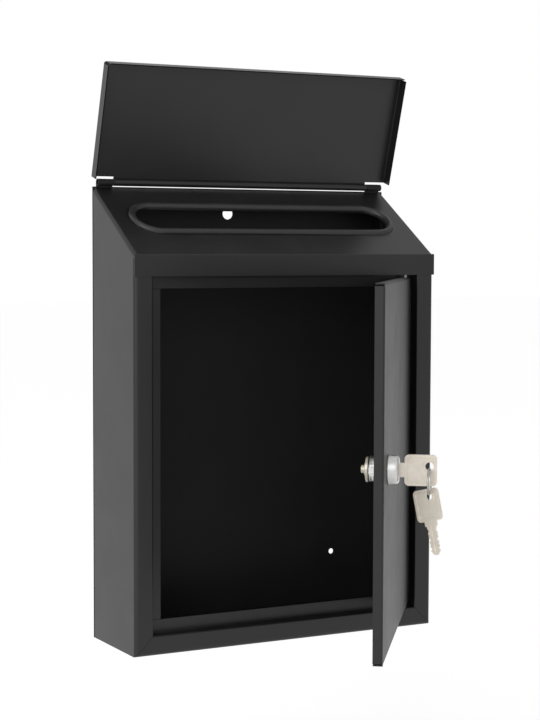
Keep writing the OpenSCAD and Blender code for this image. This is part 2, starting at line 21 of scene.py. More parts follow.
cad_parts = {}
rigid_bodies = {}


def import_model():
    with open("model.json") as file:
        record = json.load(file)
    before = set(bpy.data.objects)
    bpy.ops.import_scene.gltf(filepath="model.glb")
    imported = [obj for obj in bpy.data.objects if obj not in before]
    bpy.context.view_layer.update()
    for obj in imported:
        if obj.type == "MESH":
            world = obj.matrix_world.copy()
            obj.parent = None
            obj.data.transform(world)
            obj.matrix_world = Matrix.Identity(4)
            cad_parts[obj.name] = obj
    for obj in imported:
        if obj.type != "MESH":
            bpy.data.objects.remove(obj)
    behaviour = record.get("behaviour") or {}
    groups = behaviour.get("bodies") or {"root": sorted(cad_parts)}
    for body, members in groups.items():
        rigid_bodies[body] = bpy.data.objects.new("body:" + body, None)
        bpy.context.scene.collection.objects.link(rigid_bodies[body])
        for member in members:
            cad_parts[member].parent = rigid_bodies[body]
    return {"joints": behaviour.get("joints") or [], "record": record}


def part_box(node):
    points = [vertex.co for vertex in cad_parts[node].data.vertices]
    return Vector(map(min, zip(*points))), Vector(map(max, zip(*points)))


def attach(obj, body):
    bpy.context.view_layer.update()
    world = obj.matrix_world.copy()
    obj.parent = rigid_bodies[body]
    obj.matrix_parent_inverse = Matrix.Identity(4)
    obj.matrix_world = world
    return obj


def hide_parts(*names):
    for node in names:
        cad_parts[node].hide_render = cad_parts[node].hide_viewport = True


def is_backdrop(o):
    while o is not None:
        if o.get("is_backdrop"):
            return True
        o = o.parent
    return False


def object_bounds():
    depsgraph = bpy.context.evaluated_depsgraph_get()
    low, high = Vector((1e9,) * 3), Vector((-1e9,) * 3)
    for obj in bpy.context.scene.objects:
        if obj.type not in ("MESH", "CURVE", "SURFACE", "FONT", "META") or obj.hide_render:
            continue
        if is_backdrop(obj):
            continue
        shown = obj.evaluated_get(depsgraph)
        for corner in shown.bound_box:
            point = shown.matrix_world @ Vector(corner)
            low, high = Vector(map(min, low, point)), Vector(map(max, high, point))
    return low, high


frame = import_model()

LOG = logging.getLogger("mailbox")
MM = 0.001
MERGE = 1e-4      # Points closer than this become one.
ON_PLANE = 1e-5   # Points closer to a plane than this lie on it.
DECIMALS = 5      # Digits that an outline's points keep.
THROUGH = 4.0     # Reach of a cutter that goes through a sheet, each way.
PAST = 1.0        # Reach of a cutter past the faces that it cuts.
ROOT = 2.0        # How far a rolled knuckle's section reaches into its sheet.
LAP = 0.3         # How far a corner's plate reaches into its sheet.
Point2 = tuple[float, float]
Triple = tuple[float, float, float]
Colour = tuple[float, float, float, float]
RIGHT, BACK, UP = Vector((1, 0, 0)), Vector((0, 1, 0)), Vector((0, 0, 1))
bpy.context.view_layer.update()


class Mix(Enum):
    """How one solid changes another."""

    CUT = "DIFFERENCE"
    ADD = "UNION"
    KEEP = "INTERSECT"


class Way(Enum):
    """Which side of a plane is taken away."""

    ABOVE = 1
    BELOW = -1


# ---- Places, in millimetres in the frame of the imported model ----


def node_box(node: str) -> tuple[Vector, Vector]:
    """Returns the lowest and highest corner of a CAD node, in millimetres."""
    low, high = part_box(node)
    return low / MM, high / MM


def joint(name: str) -> dict:
    """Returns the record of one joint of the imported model."""
    return next(entry for entry in frame["joints"] if entry["name"] == name)


def joint_place(name: str) -> Vector:
    """Returns a point on the axis of a joint, in millimetres."""
    return Vector(joint(name)["pos_m"]) / MM


def axes(origin: Vector, x: Vector, y: Vector, z: Vector) -> Matrix:
    """Returns the matrix that puts a local frame at a place.

    Args:
        origin: Where the local origin goes.
        x: Direction of the local X axis.
        y: Direction of the local Y axis.
        z: Direction of the local Z axis.

    Returns:
        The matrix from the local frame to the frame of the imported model.
    """
    matrix = Matrix((x, y, z)).transposed().to_4x4()
    matrix.translation = origin
    return matrix


def shift(x: float, y: float, z: float) -> Matrix:
    """Returns the matrix that only moves."""
    return Matrix.Translation(Vector((x, y, z)))


UPRIGHT = Matrix.Identity(4)
ALONG_X = axes(Vector(), BACK, UP, RIGHT)
ALONG_Y = axes(Vector(), RIGHT, UP, BACK)
OUTWARD = axes(Vector(), RIGHT, UP, -BACK)


# ---- Folded sections ----


def arc(centre: Sequence[float], radius: float, start: float, sweep: float, steps: int) -> list[Point2]:
    """Returns points on an arc, from a start angle through a sweep, both in radians."""
    angles = [start + sweep * k / steps for k in range(steps + 1)]
    return [(centre[0] + radius * cos(a), centre[1] + radius * sin(a)) for a in angles]


def fold_arc(a: Point2, b: Point2, c: Point2, radius: float, side: float, steps: int) -> list[Point2]:
    """Rounds the corner at b on one face of a sheet.

    Args:
        a: The point before the corner.
        b: The corner.
        c: The point after the corner.
        radius: Radius of the fold on the path itself.
        side: Distance of the face from the path, to the left.
        steps: Flats in the fold.

    Returns:
        The points of the rounded corner.
    """
    before, after = Vector(b) - Vector(a), Vector(c) - Vector(b)
    before.normalize()
    after.normalize()
    turn = atan2(before.cross(after), before.dot(after))
    way = copysign(1.0, turn)
    left = Vector((-before.y, before.x)) * way
    centre = Vector(b) - before * radius * tan(abs(turn) / 2) + left * radius
    return arc(centre, radius - way * side, atan2(-left.y, -left.x), turn, steps)


def sheet_face(path: Sequence[Point2], radii: Sequence[float], side: float, steps: int) -> list[Point2]:
    """Returns one face of a folded sheet in section, side away from its path to the left."""
    points: list[Point2] = []
    for k, here in enumerate(path):
        if k in (0, len(path) - 1):
            ahead = Vector(path[k + 1]) - Vector(here) if k == 0 else Vector(here) - Vector(path[k - 1])
            ahead.normalize()
            points.append((here[0] - ahead.y * side, here[1] + ahead.x * side))
        else:
            points += fold_arc(path[k - 1], here, path[k + 1], radii[k - 1], side, steps)
    return points


def circle(radius: float, steps: int = 64, centre: Point2 = (0.0, 0.0)) -> list[Point2]:
    """Returns the points of a circle."""
    return arc(centre, radius, 0.0, 2 * pi, steps)[:-1]


def rounded_box(x0: float, y0: float, x1: float, y1: float, radius: float, steps: int = 10) -> list[Point2]:
    """Returns a rectangle with rounded corners, counted from its lower right corner."""
    left, low, right, high = x0 + radius, y0 + radius, x1 - radius, y1 - radius
    corners = ((right, low), (right, high), (left, high), (left, low))
    return [point for k, corner in enumerate(corners)
            for point in arc(corner, radius, (k - 1) * pi / 2, pi / 2, steps)]


def stadium(half_l: float, end_r: float, steps: int = 32) -> list[Point2]:
    """Returns a slot with round ends, along X."""
    return arc((half_l, 0.0), end_r, -pi / 2, pi, steps) + arc((-half_l, 0.0), end_r, pi / 2, pi, steps)


def dome(radius: float, low: float, rise: float) -> list[Point2]:
    """Returns the profile of a domed head, from near its middle to its rim, which stands higher."""
    angles = [radians(15 * k) for k in range(1, 7)]
    return [(radius * sin(a), low + rise * (1 - cos(a))) for a in angles]


# ---- Solids ----


@contextmanager
def opened(mesh: Mesh) -> Iterator[BMesh]:
    """Opens a mesh for work and writes it back."""
    work = bmesh.new()
    work.from_mesh(mesh)
    yield work
    work.to_mesh(mesh)
    work.free()


def baked(item: Object) -> Mesh:
    """Returns the mesh of an object with its modifiers applied, and takes the object away."""
    bpy.context.scene.collection.objects.link(item)
    mesh = bpy.data.meshes.new_from_object(item.evaluated_get(bpy.context.evaluated_depsgraph_get()))
    bpy.data.objects.remove(item)
    return mesh


class Solid:
    """A closed shell in millimetres, which is cut, joined and then made a piece."""

    def __init__(self, mesh: Mesh) -> None:
        """Keeps the mesh that holds the shell."""
        self.mesh = mesh

    @classmethod
    def from_bmesh(cls, work: BMesh) -> "Solid":
        """Returns a solid from a working mesh, with its faces turned outwards."""
        bmesh.ops.recalc_face_normals(work, faces=work.faces)
        mesh = bpy.data.meshes.new("work")
        work.to_mesh(mesh)
        work.free()
        return cls(mesh)

    @classmethod
    def prism(cls, outline: Sequence[Point2], low: float, high: float, place: Matrix = UPRIGHT) -> "Solid":
        """Extrudes an outline, with its points on a fine grid so that flush faces meet exactly.

        Args:
            outline: The closed outline in the local X and Y.
            low: Start of the extrusion along the local Z.
            high: Its end.
            place: From the local frame to the model's.

        Returns:
            The extruded solid.
        """
        work = bmesh.new()
        flush = [(round(x, DECIMALS), round(y, DECIMALS)) for x, y in outline]
        ends = [[work.verts.new(place @ Vector((x, y, z))) for x, y in flush] for z in (low, high)]
        count = len(outline)
        for k in range(count):
            work.faces.new((ends[0][k], ends[0][(k + 1) % count], ends[1][(k + 1) % count], ends[1][k]))
        work.faces.new(ends[0][::-1])
        work.faces.new(ends[1])
        return cls.from_bmesh(work)

    @classmethod
    def folded(cls, path: Sequence[Point2], radii: Sequence[float], thickness: float, low: float,
               high: float, place: Matrix = UPRIGHT) -> "Solid":
        """Extrudes the section of a folded sheet.

        Args:
            path: The corners of one face of the sheet.
            radii: Radius of that face at each inner corner.
            thickness: Thickness to the left of the path, or to the right if it is negative.
            low: Start of the extrusion along the local Z.
            high: Its end.
            place: From the local frame to the model's.

        Returns:
            The sheet.
        """
        near, far = (sheet_face(path, radii, side, 12) for side in (0.0, thickness))
        return cls.prism(near + far[::-1], low, high, place)

    @classmethod
    def block(cls, low: Sequence[float], high: Sequence[float], place: Matrix = UPRIGHT) -> "Solid":
        """Returns a block between two corners."""
        outline = [(low[0], low[1]), (high[0], low[1]), (high[0], high[1]), (low[0], high[1])]
        return cls.prism(outline, low[2], high[2], place)

    @classmethod
    def lathe(cls, profile: Sequence[Point2], place: Matrix, steps: int = 64,
              shape: Callable[[float, float, float], float] | None = None) -> "Solid":
        """Turns a profile round the local Z axis.

        Args:
            profile: Points of radius and height, from the bottom's middle to the top's middle. Where the
                first and last radius are above zero, the profile is a closed ring.
            place: From the local frame to the model's.
            steps: Flats round the turn.
            shape: Changes the radius by radius, height and angle.

        Returns:
            The turned solid.
        """
        work = bmesh.new()
        ring = min(radius for radius, _ in profile) > 0
        rows = []
        for radius, height in profile:
            if radius <= 0:
                rows.append([work.verts.new(place @ Vector((0, 0, height)))])
                continue
            row = []
            for k in range(steps):
                angle = 2 * pi * k / steps
                r = shape(radius, height, angle) if shape else radius
                row.append(work.verts.new(place @ Vector((r * cos(angle), r * sin(angle), height))))
            rows.append(row)
        pairs = list(zip(rows, rows[1:])) + ([(rows[-1], rows[0])] if ring else [])
        for lower, upper in pairs:
            for k in range(steps):
                n = (k + 1) % steps
                if len(lower) == 1 and len(upper) > 1:
                    work.faces.new((lower[0], upper[n], upper[k]))
                elif len(upper) == 1 and len(lower) > 1:
                    work.faces.new((lower[k], lower[n], upper[0]))
                elif len(lower) > 1:
                    work.faces.new((lower[k], lower[n], upper[n], upper[k]))
        return cls.from_bmesh(work)

    def cut_flat(self, point: Vector, normal: Vector, taken: Way = Way.ABOVE) -> "Solid":
        """Takes away one side of a plane and closes the cut.

        Args:
            point: A point on the plane.
            normal: The plane's normal.
            taken: The side that is taken away.

        Returns:
            The solid itself.
        """
        with opened(self.mesh) as work:
            everything = work.verts[:] + work.edges[:] + work.faces[:]
            bmesh.ops.bisect_plane(work, geom=everything, dist=ON_PLANE, plane_co=point,
                                   plane_no=Vector(normal) * taken.value, clear_outer=True)
            rim = [edge for edge in work.edges if edge.is_boundary]
            if rim:
                bmesh.ops.holes_fill(work, edges=rim, sides=0)
            bmesh.ops.recalc_face_normals(work, faces=work.faces)
        return self

    def mixed(self, other: "Solid", how: Mix) -> "Solid":
        """Cuts this solid with another, or joins the two.

        Args:
            other: The other solid, which is used up.
            how: What is done.

        Returns:
            The solid itself.
        """
        base = bpy.data.objects.new("base", self.mesh)
        tool = bpy.data.objects.new("tool", other.mesh)
        bpy.context.scene.collection.objects.link(tool)
        modifier = base.modifiers.new("mix", "BOOLEAN")
        modifier.operation = how.value
        modifier.solver = "EXACT"
        modifier.object = tool
        result = baked(base)
        bpy.data.objects.remove(tool)
        bpy.data.meshes.remove(self.mesh)
        bpy.data.meshes.remove(other.mesh)
        self.mesh = result
        return self

    def cut(self, *others: "Solid") -> "Solid":
        """Cuts other solids out of this one."""
        for other in others:
            self.mixed(other, Mix.CUT)
        return self

    def add(self, *others: "Solid") -> "Solid":
        """Joins other solids to this one."""
        for other in others:
            self.mixed(other, Mix.ADD)
        return self

    def beside(self, *others: "Solid") -> "Solid":
        """Keeps other closed shells next to this one in the same mesh."""
        with opened(self.mesh) as work:
            for other in others:
                work.from_mesh(other.mesh)
                bpy.data.meshes.remove(other.mesh)
        return self

    def mark_flat(self, axis: int, height: float) -> "Solid":
        """Gives the faces that lie flat at a height, along X, Y or Z, the piece's second material."""
        for face in self.mesh.polygons:
            if abs(face.normal[axis]) > 0.999 and abs(face.center[axis] - height) < 1e-3:
                face.material_index = 1
        return self

    def copy(self, move: Matrix | None = None) -> "Solid":
        """Returns a copy, moved or mirrored if a matrix is given."""
        work = bmesh.new()
        work.from_mesh(self.mesh)
        if move is not None:
            bmesh.ops.transform(work, matrix=move, verts=work.verts)
        return Solid.from_bmesh(work)


def corner_plate(radius: float, centre: Point2, way: Point2, low: float, high: float,
                 place: Matrix = UPRIGHT) -> Solid:
    """Returns the rounded corner of a flanged sheet, a quarter of a disc.

    Args:
        radius: Its radius.
        centre: Middle of the disc, in the sheet's plane.
        way: Which quarter is kept, as the sign of each direction.
        low: Height of the sheet's underside.
        high: Height of its upper side.
        place: From the sheet's frame to the model's.

    Returns:
        The plate, which reaches a little into the sheet.
    """
    (x0, x1), (y0, y1) = (sorted((centre[k] - LAP * way[k], centre[k] + 2 * radius * way[k])) for k in (0, 1))
    disc = Solid.prism(circle(radius, 48, centre), low, high)
    return disc.mixed(Solid.block((x0, y0, low - PAST), (x1, y1, high + PAST)), Mix.KEEP).copy(place)


@dataclass(frozen=True)
class Edging:
    """How the sharp edges of a piece are rounded.

    Attributes:
        width: Width of the rounded edge in millimetres.
        angle: Edges sharper than this are rounded, in degrees.
        segments: Flats in the rounded edge.
    """

    width: float = 0.14
    angle: float = 35.0
    segments: int = 2


@dataclass(frozen=True)
class Dressing:
    """What a piece is called, what carries it and what it wears.

    Attributes:
        name: Name of the piece.
        body: CAD body that it moves with.
        slot: Material slot of the record; not used.
        finish: Its material.
        edge_wear_and_shade: Material of its rounded edges: edge wear on most pieces, and on the lid a
            near-black coat that is painted shade.
        node: CAD node that it replaces.
        edging: How its edges are rounded.
    """

    name: str
    body: str
    slot: str
    finish: Material
    edge_wear_and_shade: Material
    node: str
    edging: Edging = field(default_factory=Edging)


def finish_piece(solid: Solid, dressing: Dressing) -> Object:
    """Makes a solid a finished piece of the model.

    Args:
        solid: The piece's shell in millimetres.
        dressing: Its name, body and finish.

    Returns:
        The finished object, at the origin with its place in its mesh.
    """
    mesh, edging = solid.mesh, dressing.edging
    with opened(mesh) as work:
        bmesh.ops.remove_doubles(work, verts=work.verts, dist=MERGE)
        bmesh.ops.dissolve_degenerate(work, edges=work.edges, dist=MERGE)
        bmesh.ops.transform(work, matrix=Matrix.Scale(MM, 4), verts=work.verts)
        for face in work.faces:
            face.smooth = True
        mesh.materials.clear()
    piece = bpy.data.objects.new(dressing.name, mesh)
    mesh.name = dressing.name
    bpy.context.scene.collection.objects.link(piece)
    mesh.materials.append(dressing.finish)
    mesh.materials.append(dressing.edge_wear_and_shade)
    if edging.width > 0:
        bevel = piece.modifiers.new("edging", "BEVEL")
        bevel.width = edging.width * MM
        bevel.segments = edging.segments
        bevel.limit_method = "ANGLE"
        bevel.angle_limit = radians(edging.angle)
        bevel.use_clamp_overlap = True
        bevel.material = 1
    shade = piece.modifiers.new("shade", "WEIGHTED_NORMAL")
    shade.mode = "FACE_AREA"
    shade.weight = 60
    shade.keep_sharp = True
    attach(piece, dressing.body)
    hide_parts(dressing.node)
    LOG.info("%s rides on %s for %s", dressing.name, dressing.body, dressing.node)
    return piece


# ---- Shader node groups ----


def open_group(name: str, **inputs: object) -> tuple[NodeTree, NodeOutputs]:
    """Starts a shader node group.

    Args:
        name: Name of the group.
        inputs: Default of each input, with an underscore for each space in its name. A number makes a
            float socket, three numbers a vector and four a colour.

    Returns:
        The group's tree and the sockets of its inputs.
    """
    tree = bpy.data.node_groups.new(name, "ShaderNodeTree")
    for label, default in inputs.items():
        kind = {1: "Float", 3: "Vector", 4: "Color"}[len(default) if isinstance(default, tuple) else 1]
        socket = tree.interface.new_socket(label.replace("_", " "), in_out="INPUT",
                                           socket_type="NodeSocket" + kind)
        socket.default_value = default
    return tree, tree.nodes.new("NodeGroupInput").outputs


def close_group(tree: NodeTree, **outputs: NodeSocket) -> NodeTree:
    """Ends a shader node group with its outputs, each of the kind of the socket that feeds it."""
    for label, source in outputs.items():
        kind = "NodeSocketColor" if source.type == "RGBA" else "NodeSocketFloat"
        tree.interface.new_socket(label, in_out="OUTPUT", socket_type=kind)
    add_node(tree, "NodeGroupOutput", outputs)
    return tree


def add_node(tree: NodeTree, kind: str, inputs: dict[object, object] | None = None,
             **settings: object) -> Node:
    """Adds a node to a tree.

    Args:
        tree: The tree.
        kind: The node's type.
        inputs: For each input, a socket to link or a value to set.
        settings: Attributes of the node.

    Returns:
        The node.
    """
    node = tree.nodes.new(kind)
    for label, value in settings.items():
        setattr(node, label, value)
    for label, value in (inputs or {}).items():
        if isinstance(value, NodeSocket):
            tree.links.new(value, node.inputs[label])
        else:
            node.inputs[label].default_value = value
    return node


def maths(tree: NodeTree, operation: str, *values: object, clamp: bool = False) -> NodeSocket:
    """Adds a Math node and returns its result, with sockets linked and numbers set."""
    inputs = dict(enumerate(values))
    return add_node(tree, "ShaderNodeMath", inputs, operation=operation, use_clamp=clamp).outputs[0]


def object_place(tree: NodeTree) -> NodeSocket:
    """Returns the place on the object, in its own frame."""
    return add_node(tree, "ShaderNodeTexCoord").outputs["Object"]


def noise(tree: NodeTree, place: NodeSocket, scale: object, detail: float = 2.0,
          rough: float = 0.5) -> NodeSocket:
    """Adds a Noise node on a place and returns its value."""
    inputs = {"Vector": place, "Scale": scale, "Detail": detail, "Roughness": rough}
    return add_node(tree, "ShaderNodeTexNoise", inputs).outputs["Fac"]


def blend_colour(tree: NodeTree, share: object, a: object, b: object) -> NodeSocket:
    """Adds a colour Mix node and returns its result."""
    return add_node(tree, "ShaderNodeMix", {0: share, 6: a, 7: b}, data_type="RGBA").outputs[2]


def span(tree: NodeTree, value: NodeSocket, low: float, high: float, to_low: object = 0.0,
         to_high: object = 1.0) -> NodeSocket:
    """Adds a clamped Map Range node and returns its result."""
    inputs = {"Value": value, "From Min": low, "From Max": high, "To Min": to_low, "To Max": to_high}
    return add_node(tree, "ShaderNodeMapRange", inputs).outputs["Result"]


def seen_by_eye(tree: NodeTree) -> NodeSocket:
    """Returns 1 for camera rays and for rays that a metal or a glass sends on, and 0 for the rest."""
    path = add_node(tree, "ShaderNodeLightPath")
    sent_on = maths(tree, "MAXIMUM", path.outputs["Is Glossy Ray"], path.outputs["Is Transmission Ray"])
    return maths(tree, "MAXIMUM", path.outputs["Is Camera Ray"], sent_on)


class Effects:
    """The effects that several finishes share, each built once."""

    def __init__(self) -> None:
        """Builds the groups."""
        self.peel = self._peel()
        self.dust = self._dust()
        self.drawn = self._drawn()
        self.handled = self._handled()

    @staticmethod
    def _peel() -> NodeTree:
        """Builds the fine waves and grain of a cured powder coat."""
        tree, given = open_group("powder_peel", Wave_Size=620.0, Grain_Size=3200.0, Grain=0.35)
        place = object_place(tree)
        wave = noise(tree, place, given["Wave Size"], 1.5, 0.45)
        grain = noise(tree, place, given["Grain Size"], 1.0, 0.5)
        height = maths(tree, "ADD", wave, maths(tree, "MULTIPLY", grain, given["Grain"]))
        return close_group(tree, Height=height, Speck=span(tree, grain, 0.4, 0.72))

    @staticmethod
    def _dust() -> NodeTree:
        """Builds a thin uneven veil of dust that lies thicker on faces that look up."""
        tree, given = open_group("settled_dust", Colour=(0.02, 0.02, 0.02, 1),
                                 Dust_Colour=(0.25, 0.24, 0.22, 1), Amount=0.03, Patch_Size=28.0)
        place = object_place(tree)
        patch = span(tree, noise(tree, place, given["Patch Size"], 5.0, 0.6), 0.38, 0.72)
        fine = span(tree, noise(tree, place, 900.0, 2.0, 0.6), 0.35, 0.7)
        normal = add_node(tree, "ShaderNodeNewGeometry").outputs["Normal"]
        parts = add_node(tree, "ShaderNodeSeparateXYZ", {0: normal})
        facing = span(tree, parts.outputs["Z"], -0.2, 0.9, 0.35, 1.0)
        uneven = maths(tree, "MULTIPLY", patch, maths(tree, "ADD", fine, 0.5))
        veil = maths(tree, "MULTIPLY", uneven, facing)
        share = maths(tree, "MULTIPLY", veil, given["Amount"], clamp=True)
        colour = blend_colour(tree, share, given["Colour"], given["Dust Colour"])
        return close_group(tree, Colour=colour, Veil=veil)

    @staticmethod
    def _drawn() -> NodeTree:
        """Builds the fine lines that rolling, drawing or brushing leaves in a metal."""
        tree, given = open_group("drawn_lines", Stretch=(1.0, 1.0, 1.0), Size=2400.0)
        place = object_place(tree)
        stretch = add_node(tree, "ShaderNodeVectorMath", {0: place, 1: given["Stretch"]},
                           operation="MULTIPLY")
        line = noise(tree, stretch.outputs[0], given["Size"], 3.0, 0.6)
        return close_group(tree, Line=line, Blotch=noise(tree, place, 160.0, 4.0, 0.55))

    @staticmethod
    def _handled() -> NodeTree:
        """Builds thin scratches in several directions and the dull patches of handling."""
        tree, given = open_group("handling_marks", Size=90.0, Fineness=0.012)
        place = object_place(tree)
        scratch: object = 0.0
        for angle, offset in ((0.35, 0.0), (1.4, 3.1), (2.5, 7.7)):
            turn = add_node(tree, "ShaderNodeMapping",
                            {"Rotation": (angle, angle * 1.7, angle * 0.6), "Location": (offset,) * 3,
                             "Scale": (1.0, 14.0, 1.0), "Vector": place})
            line = noise(tree, turn.outputs[0], given["Size"], 1.0, 0.4)
            near = maths(tree, "ABSOLUTE", maths(tree, "SUBTRACT", line, 0.5))
            mark = maths(tree, "LESS_THAN", near, given["Fineness"])
            scratch = maths(tree, "MAXIMUM", mark, scratch)
        gate = span(tree, noise(tree, place, 60.0, 2.0, 0.5), 0.5, 0.62)
        smudge = span(tree, noise(tree, place, 34.0, 3.0, 0.55), 0.42, 0.68)
        return close_group(tree, Scratch=maths(tree, "MULTIPLY", scratch, gate), Smudge=smudge)


def new_material(name: str) -> tuple[Material, NodeTree, Node]:
    """Returns a material with its tree and its Principled BSDF."""
    material = bpy.data.materials.new(name)
    material.use_nodes = True
    tree = material.node_tree
    return material, tree, tree.nodes["Principled BSDF"]


def group_node(tree: NodeTree, group: NodeTree, **values: object) -> Node:
    """Places a node group and sets its inputs, with an underscore for each space in a name."""
    inputs = {label.replace("_", " "): value for label, value in values.items()}
    return add_node(tree, "ShaderNodeGroup", inputs, node_tree=group)


def add_bump(tree: NodeTree, shader: Node, height: NodeSocket, strength: float,
             depth: float) -> None:
    """Feeds a height to the shader's normal.

    Args:
        tree: The material's tree.
        shader: Its Principled BSDF.
        height: The height over the surface.
        strength: Strength of the bump.
        depth: Depth of the relief in millimetres.
    """
    bump = add_node(tree, "ShaderNodeBump", {"Strength": strength, "Distance": depth * MM, "Height": height})
    tree.links.new(bump.outputs["Normal"], shader.inputs["Normal"])


@dataclass(frozen=True)
class PowderCoat:
    """A satin powder coat on sheet steel.

    Attributes:
        name: Name of the material.
        colour: Its plain colour.
        speck: Colour of the finer specks in it.
        rough: Its roughness, lowest and highest.
        ior: Its index of refraction.
        dust: Share of dust on it.
        relief: Depth of its waves in millimetres.
    """

    name: str
    colour: Colour
    speck: Colour
    rough: Point2
    ior: float = 1.45
    dust: float = 0.03
    relief: float = 0.012

    def build(self, effects: Effects) -> Material:
        """Returns the material."""
        material, tree, shader = new_material(self.name)
        peel = group_node(tree, effects.peel)
        specks = maths(tree, "MULTIPLY", peel.outputs["Speck"], 0.5)
        body = blend_colour(tree, specks, self.colour, self.speck)
        dust = group_node(tree, effects.dust, Amount=self.dust, Colour=body)
        tree.links.new(dust.outputs["Colour"], shader.inputs["Base Color"])
        handled = group_node(tree, effects.handled)
        smudge = maths(tree, "MULTIPLY", handled.outputs["Smudge"], 0.4)
        level = maths(tree, "ADD", smudge, maths(tree, "MULTIPLY", dust.outputs["Veil"], 0.6), clamp=True)
        tree.links.new(span(tree, level, 0.0, 1.0, *self.rough), shader.inputs["Roughness"])
        shader.inputs["IOR"].default_value = self.ior
        add_bump(tree, shader, peel.outputs["Height"], 0.55, self.relief)
        return material


@dataclass(frozen=True)
class PlatedMetal:
    """A plated or bare metal with drawn lines and light handling.

    Attributes:
        name: Name of the material.
        colour: Its bright colour.
        dull: Its colour where it is dull.
        rough: Its roughness, lowest and highest.
        stretch: How the drawn lines are squeezed along each axis.
        relief: Depth of the lines in millimetres.
        scratches: Share of the bright scratches.
        metallic: How much of it shines as bare metal; the rest is dull plating.
    """

    name: str
    colour: Colour
    dull: Colour
    rough: Point2
    stretch: Triple = (1.0, 1.0, 0.05)
    relief: float = 0.004
    scratches: float = 0.5
    metallic: float = 1.0

    def build(self, effects: Effects) -> Material:
        """Returns the material."""
        material, tree, shader = new_material(self.name)
        lines = group_node(tree, effects.drawn, Stretch=self.stretch)
        handled = group_node(tree, effects.handled, Size=240.0, Fineness=0.014)
        tone = span(tree, lines.outputs["Blotch"], 0.38, 0.66)
        body = blend_colour(tree, tone, self.dull, self.colour)
        mark = maths(tree, "MULTIPLY", handled.outputs["Scratch"], self.scratches)
        tree.links.new(blend_colour(tree, mark, body, self.colour), shader.inputs["Base Color"])
        level = maths(tree, "ADD", maths(tree, "MULTIPLY", lines.outputs["Line"], 0.6),
                      maths(tree, "MULTIPLY", handled.outputs["Smudge"], 0.4), clamp=True)
        tree.links.new(span(tree, level, 0.15, 0.85, *self.rough), shader.inputs["Roughness"])
        shader.inputs["Metallic"].default_value = self.metallic
        add_bump(tree, shader, lines.outputs["Line"], 0.5, self.relief)
        return material


class Finishes:
    """The materials of the mailbox, built once."""

    def __init__(self, effects: Effects) -> None:
        """Builds each material."""
        def coat(name: str, colour: Colour, speck: Colour, rough: Point2, **more: float) -> Material:
            """Builds a powder coat."""
            return PowderCoat(name, colour, speck, rough, **more).build(effects)

        def metal(name: str, colour: Colour, dull: Colour, rough: Point2, **more: object) -> Material:
            """Builds a metal."""
            return PlatedMetal(name, colour, dull, rough, **more).build(effects)

        self.coat = coat("satin_black_coat", (0.009, 0.009, 0.0092, 1), (0.0145, 0.0145, 0.0145, 1),
                         (0.34, 0.42), ior=1.44, dust=0.02)
        # A duller, darker coat for the back sheet: partly a thinner coat inside, partly painted shade for the
        # dark inside of the box.
        self.inside_coat_and_shade = coat("duller_inside_coat_and_painted_shade", (0.008, 0.008, 0.0082, 1), (0.012, 0.012, 0.012, 1),
                               (0.58, 0.68), ior=1.35, dust=0.02)
        self.coat_edge = coat("thin_coat_on_edges", (0.02, 0.02, 0.02, 1), (0.036, 0.036, 0.035, 1),
                              (0.34, 0.44))
        self.door_coat = coat("duller_door_coat", (0.01, 0.01, 0.0102, 1), (0.0145, 0.0145, 0.0145, 1),
                              (0.43, 0.51), ior=1.42, dust=0.02)
        # A near-black, barely reflecting coat for the lid's edges and flange tips: painted shade for the
        # shadow line under its flange.
        self.edge_painted_shade = coat("lid_edges_painted_shade", (0.006, 0.006, 0.006, 1), (0.01, 0.01, 0.01, 1),
                             (0.7, 0.85), ior=1.12, dust=0.01)
        self.zinc = metal("bright_zinc", (0.5, 0.465, 0.39, 1), (0.38, 0.355, 0.3, 1),
                          (0.3, 0.48), metallic=0.85)
        self.zinc_edge = metal("rubbed_zinc_edges", (0.66, 0.64, 0.58, 1), (0.55, 0.53, 0.48, 1),
                               (0.22, 0.36))
        self.steel = metal("plain_steel_pins", (0.3, 0.3, 0.295, 1), (0.2, 0.2, 0.197, 1),
                           (0.34, 0.48), metallic=0.9)
        self.nickel = metal("satin_nickel", (0.68, 0.675, 0.67, 1), (0.58, 0.575, 0.57, 1),
                            (0.22, 0.36), relief=0.002, metallic=0.9)
        self.nickel_edge = metal("bright_nickel_edges", (0.8, 0.79, 0.78, 1), (0.7, 0.7, 0.69, 1),
                                 (0.12, 0.24))
        self.key = metal("key_nickel_brass", (0.8, 0.735, 0.645, 1), (0.71, 0.65, 0.56, 1),
                         (0.4, 0.56), scratches=0.6, metallic=0.2)
        # A lighter, less metallic copy of the key metal for the spare key: painted light, so that it looks as
        # lit as the key in the lock. It also has fewer scratches.
        self.spare = metal("spare_nickel_brass_painted_light", (0.96, 0.89, 0.78, 1), (0.88, 0.81, 0.7, 1),
                           (0.38, 0.52), scratches=0.2, metallic=0.1)
        self.key_edge = metal("worn_key_edges", (0.78, 0.74, 0.67, 1), (0.68, 0.64, 0.57, 1),
                              (0.22, 0.36), metallic=0.5)
        self.wire = metal("spring_steel_wire", (0.62, 0.61, 0.58, 1), (0.52, 0.51, 0.48, 1),
                          (0.2, 0.34), stretch=(1.0, 1.0, 1.0), metallic=0.8)


# ---- Geometry node trees ----


